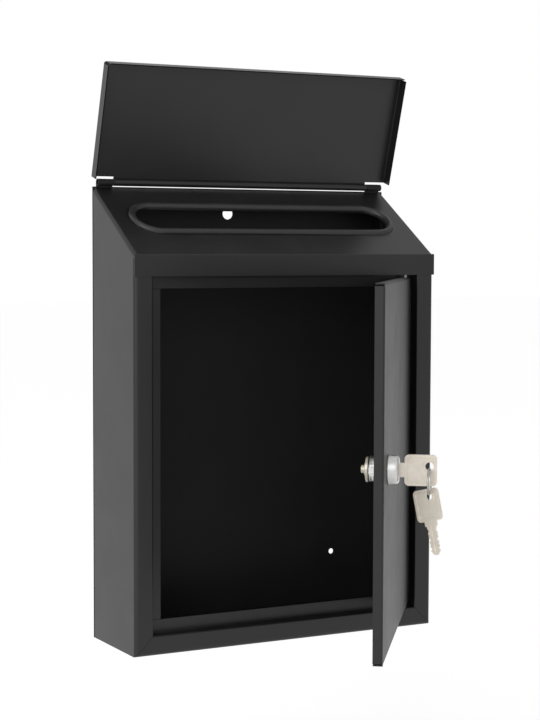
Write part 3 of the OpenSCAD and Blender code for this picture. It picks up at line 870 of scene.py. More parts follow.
class Grower:
    """Builds one Geometry Nodes tree and grows it into a solid."""

    def __init__(self, name: str, inputs: dict[str, float]) -> None:
        """Starts a tree with named sizes in millimetres.

        Args:
            name: Name of the tree.
            inputs: Each size's name and default.
        """
        self.tree = bpy.data.node_groups.new(name, "GeometryNodeTree")
        self.tree.interface.new_socket("Geometry", in_out="OUTPUT", socket_type="NodeSocketGeometry")
        self.ids: dict[str, str] = {}
        for label, value in inputs.items():
            socket = self.tree.interface.new_socket(label, in_out="INPUT", socket_type="NodeSocketFloat")
            socket.default_value = value
            self.ids[label] = socket.identifier
        dress = self.tree.interface.new_socket("Finish", in_out="INPUT", socket_type="NodeSocketMaterial")
        self.ids["Finish"] = dress.identifier
        self.start = self.tree.nodes.new("NodeGroupInput")

    def size(self, label: str) -> NodeSocket:
        """Returns the socket of a named size."""
        return self.start.outputs[label]

    def add(self, kind: str, inputs: dict[object, object] | None = None, **settings: object) -> Node:
        """Adds a node to the tree."""
        return add_node(self.tree, kind, inputs, **settings)

    def maths(self, operation: str, *values: object) -> NodeSocket:
        """Adds a Math node and returns its result."""
        return maths(self.tree, operation, *values)

    def point(self, x: object, y: object, z: object) -> NodeSocket:
        """Adds a Combine XYZ node and returns its vector."""
        return self.add("ShaderNodeCombineXYZ", {0: x, 1: y, 2: z}).outputs[0]

    def joined(self, *shapes: NodeSocket) -> NodeSocket:
        """Adds a Join Geometry node and returns its result."""
        joined = self.add("GeometryNodeJoinGeometry")
        for shape in shapes:
            self.tree.links.new(shape, joined.inputs[0])
        return joined.outputs[0]

    def end(self, *shapes: NodeSocket) -> None:
        """Joins the shapes, makes them real, gives them the finish and closes the tree."""
        real = self.add("GeometryNodeRealizeInstances", {0: self.joined(*shapes)}).outputs[0]
        dressed = self.add("GeometryNodeSetMaterial", {"Geometry": real, "Material": self.size("Finish")})
        self.add("NodeGroupOutput", {0: dressed.outputs[0]})

    def swept(self, path: NodeSocket, profile: NodeSocket, capped: bool = False) -> NodeSocket:
        """Adds a Curve to Mesh node and returns the profile swept along the path."""
        return self.add("GeometryNodeCurveToMesh",
                        {"Curve": path, "Profile Curve": profile, "Fill Caps": capped}).outputs[0]

    def disc(self, radius: NodeSocket, flats: int) -> NodeSocket:
        """Adds a circle, the profile of a wire."""
        inputs = {"Resolution": flats, "Radius": radius}
        return self.add("GeometryNodeCurvePrimitiveCircle", inputs).outputs[0]

    def wind(self, radius: NodeSocket, angle: NodeSocket, rise: NodeSocket, count: object,
             profile: NodeSocket) -> None:
        """Ends the tree in a profile that winds round Z.

        Args:
            radius: Radius of the turns.
            angle: Angle of each point.
            rise: Height of each point.
            count: Number of points.
            profile: The wire's profile.
        """
        line = self.add("GeometryNodeCurvePrimitiveLine", {"End": (0.0, 0.0, 1.0)})
        fine = self.add("GeometryNodeResampleCurve", {"Curve": line.outputs[0], "Count": count})
        place = self.point(self.maths("MULTIPLY", radius, self.maths("COSINE", angle)),
                           self.maths("MULTIPLY", radius, self.maths("SINE", angle)), rise)
        bent = self.add("GeometryNodeSetPosition", {"Geometry": fine.outputs[0], "Position": place})
        self.end(self.swept(bent.outputs[0], profile, capped=True))

    def grow(self, place: Matrix, finish: Material, **sizes: float) -> Solid:
        """Grows the tree at a place.

        Args:
            place: From the tree's own frame to the model's.
            finish: The material it ends in.
            sizes: Sizes that differ from the defaults, with an underscore for each space in a name.

        Returns:
            The grown solid.
        """
        blank = bpy.data.meshes.new("blank")
        item = bpy.data.objects.new("grower", blank)
        modifier = item.modifiers.new("grow", "NODES")
        modifier.node_group = self.tree
        modifier[self.ids["Finish"]] = finish
        for label, value in sizes.items():
            modifier[self.ids[label.replace("_", " ")]] = float(value)
        solid = Solid(baked(item))
        bpy.data.meshes.remove(blank)
        with opened(solid.mesh) as work:
            bmesh.ops.remove_doubles(work, verts=work.verts, dist=MERGE)
        return solid.copy(place)


def rim_tree() -> Grower:
    """Returns the tree of a rolled rim that follows a slot with round ends, on its raised ground."""
    grower = Grower("rolled_rim", {"Half Length": 97.0, "End Radius": 17.5, "Bead Radius": 2.25,
                                   "Ground Width": 2.0, "Sheet": 0.8})
    radius, bead_r = grower.size("End Radius"), grower.size("Bead Radius")
    width = grower.maths("MULTIPLY", grower.maths("ADD", grower.size("Half Length"), radius), 2.0)
    height = grower.maths("MULTIPLY", radius, 2.0)
    outline = grower.add("GeometryNodeCurvePrimitiveQuadrilateral", {"Width": width, "Height": height})
    almost = grower.maths("MULTIPLY", radius, 0.9999)
    path = grower.add("GeometryNodeFilletCurve", {"Curve": outline.outputs[0], "Count": 28, "Radius": almost},
                      mode="POLY").outputs[0]
    roll = grower.swept(path, grower.disc(bead_r, 32))
    half = grower.maths("MULTIPLY", grower.size("Sheet"), 0.5)
    under = grower.maths("MULTIPLY", half, -1.0)
    out = grower.maths("ADD", bead_r, grower.size("Ground Width"))
    inner, outer = grower.point(0.0, under, 0.0), grower.point(out, under, 0.0)
    top = grower.point(grower.maths("MULTIPLY", bead_r, 0.6), grower.maths("MULTIPLY", bead_r, 0.78), 0.0)
    edge = grower.point(out, half, 0.0)
    pulls = [grower.point(grower.maths("MULTIPLY", bead_r, share), half, 0.0) for share in (1.05, 1.25)]
    hollow = grower.add("GeometryNodeCurvePrimitiveBezierSegment",
                        {"Resolution": 10, "Start": top, "End": edge, "Start Handle": pulls[0],
                         "End Handle": pulls[1]}, mode="POSITION").outputs[0]
    sides = [grower.add("GeometryNodeCurvePrimitiveLine", {"Start": a, "End": b}).outputs[0]
             for a, b in ((edge, outer), (outer, inner), (inner, top))]
    grower.end(roll, grower.swept(path, grower.joined(hollow, *sides)))
    return grower


def ring_tree() -> Grower:
    """Returns the tree of a split ring: two turns of wire side by side that cross over at its ends."""
    grower = Grower("split_ring", {"Ring Radius": 8.7, "Wire Radius": 0.6, "Half Step": 0.57, "Cross": 0.03})
    share = grower.add("GeometryNodeSplineParameter").outputs["Factor"]
    angle = grower.maths("MULTIPLY", share, 4 * pi * 0.997)
    cross = grower.size("Cross")
    step = grower.add("ShaderNodeMapRange",
                      {"Value": share, "From Min": grower.maths("SUBTRACT", 0.5, cross),
                       "From Max": grower.maths("ADD", 0.5, cross), "To Min": -1.0, "To Max": 1.0},
                      interpolation_type="SMOOTHSTEP").outputs["Result"]
    rise = grower.maths("MULTIPLY", step, grower.size("Half Step"))
    grower.wind(grower.size("Ring Radius"), angle, rise, 193, grower.disc(grower.size("Wire Radius"), 20))
    return grower


def thread_tree() -> Grower:
    """Returns the tree of a screw thread that winds round a barrel."""
    grower = Grower("screw_thread", {"Radius": 9.0, "Length": 13.0, "Pitch": 1.0, "Depth": 0.45})
    length, depth = grower.size("Length"), grower.size("Depth")
    turns = grower.maths("DIVIDE", length, grower.size("Pitch"))
    share = grower.add("GeometryNodeSplineParameter").outputs["Factor"]
    angle = grower.maths("MULTIPLY", grower.maths("MULTIPLY", share, turns), 2 * pi)
    root = grower.maths("SUBTRACT", grower.size("Radius"), depth)
    grower.wind(root, angle, grower.maths("MULTIPLY", share, length), grower.maths("MULTIPLY", turns, 48.0),
                grower.disc(depth, 4))
    return grower


# ---- The body ----


@dataclass
class Body:
    """The folded-sheet body, with its back, its slotted top and the frame of its door.

    Attributes:
        sheet: Thickness of the steel.
        edge_r: Radius of its long edges.
        fold_r: Outer radius of its small folds.
        in_r: Inner radius of its small folds.
        stile: Width of the frame's face.
        rebate: Depth of the recess that the door closes into.
        lip: Width of the lip behind the door.
        rear_flange: Width of the flange at the back.
        fascia_h: Height of the fascia.
        overhang: How far the fascia stands out past a side.
        drip: How far the fascia hangs below the ceiling of the recess.
        head_face: Height of the rail's face behind the fascia.
        skirt: Depth of the top's folded edges.
        slot: Clear length and height of the letter slot.
        slot_up: Distance of the slot's middle from the front fold, along the slope.
        bead_r: Radius of the slot's rolled rim.
        ground: Width of the raised ground round the rim.
        hinge_rise: Height of the hinge axis above the top of the back.
        hinge_r: Outer radius of the rolled knuckles.
        bore_r: Their inner radius.
        knuckle: Width of an end knuckle.
        knuckle_in: Distance of a knuckle from the side.
        curl: How far a knuckle is rolled, in degrees.
        pin_bore: Radius of the holes for the door's pins.
        pin_cut: Reach of their cutter, each way.
        wall_holes: Radius of the lower and of the upper wall hole.
        rear_drop: Height of the top's rear flange.
        rear_sunk: How far it stays under the slope, as a share of the slope's fall over one sheet.
        lap: How far the slope's sheet reaches into the fold of the fascia.
        flange_margin: Space at each end of the top's rear flange.
        mitre_gap: Space that each sheet leaves at a mitre.
        seam: Space between two lips that meet.
        back_rise: How far the back stands up behind the top.
    """

    finishes: Finishes
    sheet: float = 0.8
    edge_r: float = 3.0
    fold_r: float = 1.2
    in_r: float = 0.4
    stile: float = 15.0
    rebate: float = 9.5
    lip: float = 10.0
    rear_flange: float = 10.0
    fascia_h: float = 16.0
    overhang: float = 0.3
    drip: float = 0.8
    head_face: float = 9.0
    skirt: float = 3.5
    slot: Point2 = (219.0, 30.5)
    slot_up: float = 50.2
    bead_r: float = 3.0
    ground: float = 1.6
    hinge_rise: float = 3.5
    hinge_r: float = 2.7
    bore_r: float = 1.86
    knuckle: float = 13.4
    knuckle_in: float = 3.0
    curl: float = 300.0
    pin_bore: float = 1.5
    pin_cut: float = 3.0
    wall_holes: Point2 = (2.25, 4.5)
    rear_drop: float = 8.0
    rear_sunk: float = 0.2
    lap: float = 0.15
    flange_margin: float = 0.5
    mitre_gap: float = 0.12
    seam: float = 0.3
    back_rise: float = 0.2

    def __post_init__(self) -> None:
        """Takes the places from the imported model."""
        low, _ = node_box("left_side")
        cover_low, _ = node_box("top_cover")
        self.half_w, self.depth, self.floor = -low.x, -low.y, low.z
        self.front_z = cover_low.z + self.fascia_h
        self.hinge = joint_place("lid_hinge")
        self.top_z = self.hinge.z - self.hinge_rise
        self.pivot = joint_place("door_hinge")
        self.lip_y = self.rebate - self.depth
        self.opening_half = self.half_w - self.stile
        self.ceiling = self.front_z - self.fascia_h + self.drip
        front = self.depth + self.sheet
        angle = atan2(self.top_z - self.front_z, front)
        self.up = Vector((0, cos(angle), sin(angle)))
        self.out = Vector((0, -sin(angle), cos(angle)))
        self.slope = axes(Vector((0, -front, self.front_z)), RIGHT, self.up, self.out)
        self.slope_l = Vector((self.top_z - self.front_z, front)).length

    def dressed(self, solid: Solid, name: str, node: str, finish: Material | None = None) -> None:
        """Finishes a coated piece of the body."""
        wear = self.finishes
        finish_piece(solid, Dressing(name, "box", "black_body", finish or wear.coat, wear.coat_edge, node))

    def pin(self, solid: Solid, name: str, node: str, edge: float) -> None:
        """Finishes a plain steel pin or spacer, with the width of its rounded edges."""
        steel = self.finishes.steel
        finish_piece(solid, Dressing(name, "box", "zinc", steel, steel, node, Edging(edge)))

    def build(self) -> None:
        """Builds every sheet of the body."""
        left = self.side()
        right = left.copy(Matrix.Diagonal((-1, 1, 1, 1)))
        self.dressed(left, "left_side_sheet", "left_side")
        self.dressed(right, "right_side_sheet", "right_side")
        self.dressed(self.bottom(), "bottom_sheet", "bottom_panel")
        self.dressed(self.head_rail(), "head_rail_sheet", "door_head_rail")
        # The back wears the darker inner coat, partly painted shade inside the box.
        self.dressed(self.back(), "back_sheet", "back_panel", self.finishes.inside_coat_and_shade)
        self.dressed(self.top(), "slotted_top", "top_cover")

    def frame_path(self) -> list[Point2]:
        """Returns the section that the sides and the bottom share: distance in, and place from the wall."""
        return [(self.rear_flange, -self.sheet), (0.0, -self.sheet), (0.0, -self.depth),
                (self.stile, -self.depth), (self.stile, self.lip_y), (self.stile + self.lip, self.lip_y)]

    def frame_radii(self) -> list[float]:
        """Returns the radius of each fold in that section."""
        return [self.fold_r, self.edge_r, self.fold_r, self.in_r]

    def mitre(self, solid: Solid, side: float, taken: Way) -> Solid:
        """Cuts the 45 degree mitre between a side and the bottom, and leaves a hair of space there."""
        corner = Vector((side * self.half_w, 0, self.floor - self.mitre_gap * taken.value))
        return solid.cut_flat(corner, Vector((side, 0, 1)), taken)

    def side(self) -> Solid:
        """Returns the left side, with its frame, recess and lip."""
        path = [(inward - self.half_w, y) for inward, y in self.frame_path()]
        solid = Solid.folded(path, self.frame_radii(), self.sheet, self.floor, self.top_z)
        self.mitre(solid, -1, Way.BELOW)
        solid.cut_flat(self.slope @ Vector((0, 0, -self.skirt)), self.out)
        clear = self.lip + self.seam
        near, far = self.lip_y - self.rebate / 2, self.lip_y + self.rebate / 2
        inner = -self.opening_half + self.lip + PAST
        for low, high in ((self.ceiling - clear, self.top_z), (self.floor, self.floor + self.stile + clear)):
            solid.cut(Solid.block((-self.opening_half, near, low), (inner, far, high)))
        return solid

    def bottom(self) -> Solid:
        """Returns the bottom, with the same frame along its front."""
        path = [(y, self.floor + inward) for inward, y in self.frame_path()]
        solid = Solid.folded(path, self.frame_radii(), -self.sheet, -self.half_w, self.half_w, ALONG_X)
        self.mitre(solid, -1, Way.ABOVE)
        self.mitre(solid, 1, Way.ABOVE)
        foot = self.floor + self.stile
        for side in (-1, 1):
            x0, x1 = sorted((side * self.opening_half, side * (self.opening_half - self.lip - PAST)))
            solid.add(Solid.block((x0, self.lip_y, foot - self.in_r),
                                  (x1, self.lip_y + self.sheet, foot + self.lip)))
        return solid.cut(self.pin_hole(foot))

    def pin_hole(self, height: float) -> Solid:
        """Returns the cutter for a pivot pin through the sheet at a height."""
        place = shift(self.pivot.x, self.pivot.y, height)
        return Solid.prism(circle(self.pin_bore, 32), -self.pin_cut, self.pin_cut, place)

    def head_rail(self) -> Solid:
        """Returns the rail behind the fascia."""
        path = [(-self.depth, self.ceiling + self.head_face), (-self.depth, self.ceiling),
                (self.lip_y, self.ceiling), (self.lip_y, self.ceiling - self.lip)]
        radii, half = [self.fold_r, self.in_r], self.opening_half
        solid = Solid.folded(path, radii, self.sheet, -half, half, ALONG_X)
        return solid.cut(self.pin_hole(self.ceiling))

    def curl_section(self, start: float, centre: Point2 = (0.0, 0.0)) -> list[Point2]:
        """Returns the section of a rolled knuckle that starts at an angle in degrees."""
        outer, inner = (arc(centre, radius, radians(start), radians(self.curl), 56)
                        for radius in (self.hinge_r, self.bore_r))
        return outer + inner[::-1]

    def back(self) -> Solid:
        """Returns the back, with its wall holes and the two knuckles rolled from its top edge."""
        top = self.top_z + self.back_rise
        solid = Solid.block((-self.half_w, -self.sheet, self.floor), (self.half_w, 0, top))
        curl = self.curl_section(0.0, (self.hinge.y, self.hinge.z))
        section = [(0.0, top - ROOT)] + curl + [(-self.sheet, top - ROOT)]
        outer = self.half_w - self.knuckle_in
        for low in (-outer, outer - self.knuckle):
            solid.add(Solid.prism(section, low, low + self.knuckle, ALONG_X))
        lower_holes, upper_hole = frame["record"]["mounts"][:2]
        gap, upper = lower_holes["dims"]["spacing_x_mm"] / 2, Vector(upper_hole["pos_m"]) / MM
        small, large = self.wall_holes
        for centre, radius in (((-gap, 0.0), small), ((gap, 0.0), small), ((upper.x, upper.z), large)):
            solid.cut(Solid.prism(circle(radius, 40, centre), -THROUGH, THROUGH, OUTWARD))
        return solid

    def top(self) -> Solid:
        """Returns the slotted top: slope, folded edges, fascia, rear flange and rolled rim.

        It is built flat, with Y up the slope and Z out of it, so that the sheets meet exactly.
        """
        flat = self.slope.inverted()
        across = [(-self.half_w, -self.skirt), (-self.half_w, 0.0), (self.half_w, 0.0),
                  (self.half_w, -self.skirt)]
        long_l = self.slope_l + self.depth
        slope = Solid.folded(across, [self.edge_r] * 2, -self.sheet, -self.depth, long_l, ALONG_Y)
        wall = flat.to_3x3() @ BACK
        slope.cut_flat(flat @ Vector((0, -self.depth - self.lap, self.front_z)), wall, Way.BELOW)
        slope.cut_flat(flat @ Vector((0, -self.sheet, self.front_z)), wall, Way.ABOVE)
        foot = flat @ Vector((0, -self.depth - self.sheet, self.front_z - self.fascia_h))
        path = [(foot.y, foot.z), (0.0, 0.0), (self.fascia_h, 0.0)]
        reach = self.half_w + self.overhang
        fascia = Solid.folded(path, [self.fold_r], -self.sheet, -reach, reach, ALONG_X)
        fascia.cut_flat(flat @ Vector((0, -self.depth, self.front_z)), wall, Way.ABOVE)
        slope.add(fascia)
        end_r = self.slot[1] / 2 + self.bead_r
        half_l = self.slot[0] / 2 + self.bead_r - end_r
        at_slot = shift(0, self.slot_up, 0)
        slope.cut(Solid.prism(stadium(half_l, end_r), -THROUGH, THROUGH, at_slot))
        fall = self.sheet * self.out.y / -self.out.z
        rear = self.half_w - self.rear_flange - self.flange_margin
        low = self.top_z - self.rear_drop
        near, far = (self.top_z - (k + self.rear_sunk) * fall for k in (1, 2))
        section = [(-2 * self.sheet, low), (-self.sheet, low), (-self.sheet, near), (-2 * self.sheet, far)]
        flange = Solid.prism(section, -rear, rear, ALONG_X)
        middle = self.slope @ at_slot @ shift(0, 0, -self.sheet / 2)
        rim = rim_tree().grow(middle, self.finishes.coat, Half_Length=half_l, End_Radius=end_r,
                              Bead_Radius=self.bead_r, Ground_Width=self.ground, Sheet=self.sheet)
        return slope.copy(self.slope).beside(flange, rim)


# ---- The lid ----


@dataclass
class Lid:
    """The flanged lid, rolled round its hinge pin.

    Attributes:
        length: Distance from the hinge axis to the free edge.
        flange: Depth of its flanges over its face.
        half: Half of its width over the side flanges.
        notch: Distance from the axis to the sheet beside the knuckles.
        corner: Open corner between two flanges.
        inset: How far the sheet's corners stand behind the flanges.
        recess: How far the pin stops short of the knuckles' ends.
        lean: How far it leans forward from upright, in radians.
        pin_r: Radius of the hinge pin.
        chamfer: Width of the pin's end edges.
        gap: Space between two knuckles.
    """

    finishes: Finishes
    body: Body
    length: float = 93.2
    flange: float = 9.2
    half: float = 131.6
    notch: float = 4.1
    corner: float = 1.9
    inset: float = 0.4
    recess: float = 1.4
    lean: float = radians(17.0)
    pin_r: float = 1.8
    chamfer: float = 0.3
    gap: float = 0.3

    def __post_init__(self) -> None:
        """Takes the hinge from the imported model."""
        along = Vector((0, -sin(self.lean), cos(self.lean)))
        out = Vector((0, cos(self.lean), sin(self.lean)))
        self.place = axes(joint_place("lid_hinge"), RIGHT, along, out)

    def build(self) -> None:
        """Builds the lid and its pin."""
        wear = self.finishes
        # The lid's rounded edges wear the near-black coat, painted shade for the shadow under its flange.
        finish_piece(self.sheet(), Dressing("flanged_lid", "lid", "black_door", wear.coat,
                                            wear.edge_painted_shade, "lid"))
        outer = self.body.half_w - self.body.knuckle_in - self.recess
        radius, ends, shank = self.pin_r, self.pin_r - self.chamfer, outer - self.chamfer
        profile = [(0.0, -outer), (ends, -outer), (radius, -shank), (radius, shank), (ends, outer),
                   (0.0, outer)]
        self.body.pin(Solid.lathe(profile, self.place @ ALONG_X, 32), "lid_pin", "lid_hinge_pin", edge=0.0)

    def sheet(self) -> Solid:
        """Returns the lid's sheet: face, flanges, tongue and curl, built flat and then leant over."""
        body, face, t = self.body, self.body.hinge_r, self.body.sheet
        drop = face - self.flange
        end = self.length - self.corner
        path = [(-self.half, drop), (-self.half, face), (self.half, face), (self.half, drop)]
        solid = Solid.folded(path, [body.fold_r] * 2, -t, self.notch, end, ALONG_Y)
        path = [(self.notch, face), (self.length, face), (self.length, drop)]
        inner = self.half - self.corner
        solid.add(Solid.folded(path, [body.fold_r], -t, -inner, inner, ALONG_X))
        for side in (-1, 1):
            solid.add(corner_plate(self.corner - self.inset, (side * inner, end), (side, 1), face - t, face))
        edge = body.half_w - body.knuckle_in - body.knuckle - 2 * self.gap
        root = self.notch + ROOT
        tongue = [(root, face)] + body.curl_section(90.0) + [(root, face - t)]
        solid.add(Solid.prism(tongue, -edge, edge, ALONG_X))
        # The flange tips take that near-black coat too: painted shade.
        return solid.mark_flat(2, drop).copy(self.place)


# ---- The door ----


@dataclass
class Door:
    """The flanged door and the pins that it turns on.

    Attributes:
        side_gap: Gap beside the door.
        end_gap: Gap above and below it.
        set_back: How far its face stands behind the frame's.
        flange: Depth of its flanges over its face.
        hinge_flange: Depth of the flange beside the hinge.
        fold_r: Outer radius of its folds.
        corner: Open corner between two flanges, at the free edge.
        pivot_r: Radius of the pins.
        head_r: Radius of their heads.
        head_h: Height of their heads.
        reach: How far the pins reach through the flanges.
        play: Gap round a pin.
        dome: How far the rim of a pin's head stands below its top.
        chamfer: Width of the edge at a pin's end.
        clear: Gap between the spacer and the door.
        lock_hole: Radius of the hole for the lock.
    """

    finishes: Finishes
    body: Body
    side_gap: float = 4.2
    end_gap: float = 3.0
    set_back: float = 0.25
    flange: float = 7.0
    hinge_flange: float = 6.0
    fold_r: float = 1.6
    corner: float = 2.0
    pivot_r: float = 1.5
    head_r: float = 2.8
    head_h: float = 1.2
    reach: float = 2.5
    play: float = 0.06
    dome: float = 0.7
    chamfer: float = 0.4
    clear: float = 0.3
    lock_hole: float = 9.1

    def __post_init__(self) -> None:
        """Takes the pivots and the door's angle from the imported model."""
        body = self.body
        self.out = Vector(joint("lock_turn")["axis"])
        self.angle = atan2(self.out.x, -self.out.y)
        pivot = joint_place("door_hinge")
        self.pivot = Vector((pivot.x, pivot.y, 0))
        self.place = shift(*self.pivot) @ Matrix.Rotation(self.angle, 4, "Z") @ shift(*-self.pivot)
        self.face = body.depth - self.set_back
        self.right = body.opening_half - self.side_gap
        self.bottom = body.floor + body.stile + self.end_gap
        self.top = body.ceiling - self.end_gap
        self.lock = joint_place("lock_turn")

    def build(self) -> None:
        """Builds the door's sheet and its pins."""
        wear, body = self.finishes, self.body
        finish_piece(self.sheet(), Dressing("flanged_door", "door", "black_door", wear.door_coat,
                                            wear.coat_edge, "door"))
        x, y, _ = self.pivot
        foot = body.floor + body.stile
        turned = Matrix.Rotation(pi, 4, "X")
        for which, place in (("lower", shift(x, y, foot - body.sheet)),
                             ("upper", shift(x, y, body.ceiling + body.sheet) @ turned)):
            pin = Solid.lathe(self.pin_profile(), place, 40)
            body.pin(pin, f"{which}_domed_pin", f"{which}_pivot_pin", edge=0.06)
        bore, height = self.pivot_r + self.play, self.end_gap - self.clear
        washer = [(bore, 0.0), (self.head_r, 0.0), (self.head_r, height), (bore, height)]
        spacer = Solid.lathe(washer, shift(x, y, foot), 40)
        body.pin(spacer, "pivot_spacer", "lower_pivot_washer", edge=0.12)

    def pin_profile(self) -> list[Point2]:
        """Returns the profile of a pin with a domed head, its shank upwards."""
        length = self.body.sheet * 2 + self.end_gap + self.reach
        shank = [(self.head_r, 0.0), (self.pivot_r, 0.0), (self.pivot_r, length - self.chamfer),
                 (self.pivot_r - self.chamfer, length), (0.0, length)]
        return [(0.0, -self.head_h)] + dome(self.head_r, -self.head_h, self.dome) + shank

    def sheet(self) -> Solid:
        """Returns the door's sheet, built closed and then opened."""
        t, left = self.body.sheet, -self.right
        low, high = self.bottom + self.corner, self.top - self.corner
        radii = [self.fold_r, self.fold_r]
        across = [(left, self.flange - self.face), (left, -self.face), (self.right, -self.face),
                  (self.right, self.hinge_flange - self.face)]
        solid = Solid.folded(across, radii, t, low, high)
        back = self.flange - self.face
        upright = [(back, self.bottom), (-self.face, self.bottom), (-self.face, self.top), (back, self.top)]
        free = left + self.corner
        solid.add(Solid.folded(upright, radii, -t, free, self.right - self.fold_r, ALONG_X))
        for way, at in ((-1, low), (1, high)):
            solid.add(corner_plate(self.corner, (free, at), (-1, way), self.face - t, self.face, OUTWARD))
        bore = circle(self.pivot_r + self.play, 32)
        solid.cut(Solid.prism(bore, self.bottom - PAST, self.top + PAST, shift(*self.pivot)))
        closed = self.place.inverted() @ self.lock
        hole = Solid.prism(circle(self.lock_hole, 64), -THROUGH, THROUGH, axes(closed, RIGHT, UP, -BACK))
        return solid.cut(hole).copy(self.place)


# ---- The lock ----


@dataclass
class Lock:
    """The cam lock in the door: housing, nut, washer, plug, cam and screw.

    Attributes:
        head: Radius and height of the head.
        rim_h: Height of the head's straight rim.
        taper: How much the head narrows over its rim.
        round: Radius of the head's front edge.
        barrel: Radius and length of the threaded barrel.
        flat: Half of the distance between the barrel's flats.
        thread: Pitch and depth of the barrel's thread.
        relief_l: Length of the plain barrel under the head.
        lead: Length of the plain barrel at its end.
        plug_r: Radius of the plug.
        collar: Radius and height of the plug's collar.
        seat_room: Gap between the collar and its seat.
        housing_edges: Width of the edge at the back of the head, at its mouth and at the barrel's end.
        plug_edges: Width of the edge at the plug's end and at its collar.
        dish: Width of the flat ring on the collar, width of the step inside it and depth of that step.
        washer: Radius and height of the washer.
        nut: Half of the nut's width across flats, and its height.
        nut_edges: Width of the edge in the nut's bore, of the flat ring's margin, and height of its chamfer.
        hub_r: Radius of the cam's hub.
        cam: Reach, width and thickness of the cam.
        square: Half of the driving square's width.
        square_end: How far the square reaches out behind the cam.
        square_gap: Gap between the square and the cam's hole.
        screw: Radius and height of the screw's head, and radius and height of its washer.
        screw_dome: How far the rim of the screw's head stands in from its top.
        play: Small running gap.
        end_play: Gap at the ends of the plug.
        keyway: Width, height and depth of the keyway.
        key_gap: Distance of the key's shoulder from the head.
        screw_r: Radius of the screw's thread.
        slot: Half width and depth of the screw's slot.
    """

    finishes: Finishes
    door: Door
    head: Point2 = (10.5, 7.8)
    rim_h: float = 0.8
    taper: float = 0.5
    round: float = 2.2
    barrel: Point2 = (9.0, 13.0)
    flat: float = 8.0
    thread: Point2 = (1.0, 0.42)
    relief_l: float = 0.6
    lead: float = 0.5
    plug_r: float = 6.0
    collar: Point2 = (7.2, 2.0)
    seat_room: float = 0.3
    housing_edges: Triple = (0.25, 0.2, 0.4)
    plug_edges: Point2 = (0.3, 0.45)
    dish: Triple = (1.5, 0.2, 0.12)
    washer: Point2 = (11.5, 1.0)
    nut: Point2 = (11.0, 4.5)
    nut_edges: Triple = (0.4, 0.3, 0.9)
    hub_r: float = 9.0
    cam: Triple = (34.0, 12.0, 2.0)
    square: float = 3.25
    square_end: float = 0.1
    square_gap: float = 0.1
    screw: tuple[float, float, float, float] = (2.8, 2.9, 4.5, 0.8)
    screw_dome: float = 0.9
    play: float = 0.06
    end_play: float = 0.2
    keyway: Triple = (2.3, 7.9, 20.6)
    key_gap: float = 0.3
    screw_r: float = 1.5
    slot: Point2 = (0.4, 1.6)

    def __post_init__(self) -> None:
        """Takes the lock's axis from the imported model."""
        self.out = self.door.out
        self.up = UP
        self.side = UP.cross(self.out)
        self.origin = self.door.lock
        self.place = axes(self.origin, self.side, self.up, self.out)
        self.back = self.barrel[1] + self.end_play
        self.cam_front = self.back + self.end_play
        self.cam_back = self.cam_front + self.cam[2]
        self.front = self.head[1] - self.end_play

    def plated(self, solid: Solid, name: str, body: str, node: str, edge: float) -> None:
        """Finishes a zinc plated piece of the lock, with the width of its rounded edges."""
        zinc, rubbed = self.finishes.zinc, self.finishes.zinc_edge
        finish_piece(solid, Dressing(name, body, "zinc", zinc, rubbed, node, Edging(edge)))

    def bright(self, solid: Solid, name: str, body: str, node: str, edge: float) -> None:
        """Finishes a nickel plated piece of the lock, with the width of its rounded edges."""
        nickel, rubbed = self.finishes.nickel, self.finishes.nickel_edge
        finish_piece(solid, Dressing(name, body, "lock_head", nickel, rubbed, node, Edging(edge)))

    def build(self) -> None:
        """Builds every piece of the lock."""
        self.bright(self.housing(), "lock_body", "door", "lock_housing", edge=0.1)
        self.plated(self.flat_washer(), "plain_washer", "door", "lock_washer", edge=0.15)
        self.plated(self.hex_nut(), "hex_nut", "door", "lock_nut", edge=0.12)
        self.bright(self.plug(), "keyed_plug", "lock_core", "lock_plug", edge=0.12)
        self.plated(self.arm(), "cam_arm", "lock_core", "lock_cam", edge=0.25)
        self.plated(self.cap_screw(), "slotted_screw", "lock_core", "cam_screw", edge=0.12)

    def flat_washer(self) -> Solid:
        """Returns the washer behind the door's sheet."""
        bore, outer = self.barrel[0] + self.play, self.washer[0]
        back, front = -self.door.body.sheet - self.washer[1], -self.door.body.sheet
        return Solid.lathe([(bore, back), (outer, back), (outer, front), (bore, front)], self.place, 64)

    def housing(self) -> Solid:
        """Returns the head and the threaded barrel with its two flats."""
        head_r, head_h = self.head
        reach, length = self.barrel
        bore, root = self.plug_r + self.play, reach - self.thread[1]
        seat_r, seat = self.collar[0] + self.play, head_h - self.collar[1] - self.seat_room
        heel, mouth, lead = self.housing_edges
        corner = (head_r - self.taper - self.round, head_h - self.round)
        profile = [(bore, -length), (root - lead, -length), (root, lead - length), (root, -self.relief_l),
                   (reach, -self.relief_l), (reach, 0.0), (head_r - heel, 0.0), (head_r, heel),
                   (head_r, self.rim_h)]
        profile += arc(corner, self.round, 0.0, pi / 2, 10)
        profile += [(seat_r + mouth, head_h), (seat_r, head_h - mouth), (seat_r, seat), (bore, seat)]

        def flattened(radius: float, height: float, angle: float) -> float:
            """Gives the barrel its two flats, from its end to the head."""
            on_barrel = height <= 0 and radius <= reach
            return min(radius, self.flat / max(abs(cos(angle)), 1e-6)) if on_barrel else radius

        solid = Solid.lathe(profile, UPRIGHT, 96, flattened)
        pitch, depth = self.thread
        run = length - self.lead - self.relief_l
        wound = thread_tree().grow(shift(0, 0, self.lead - length), self.finishes.nickel,
                                   Radius=reach, Length=run, Pitch=pitch, Depth=depth)
        side = reach + PAST
        wound.mixed(Solid.block((-self.flat, -side, -length), (self.flat, side, 0)), Mix.KEEP)
        return solid.beside(wound).copy(self.place)

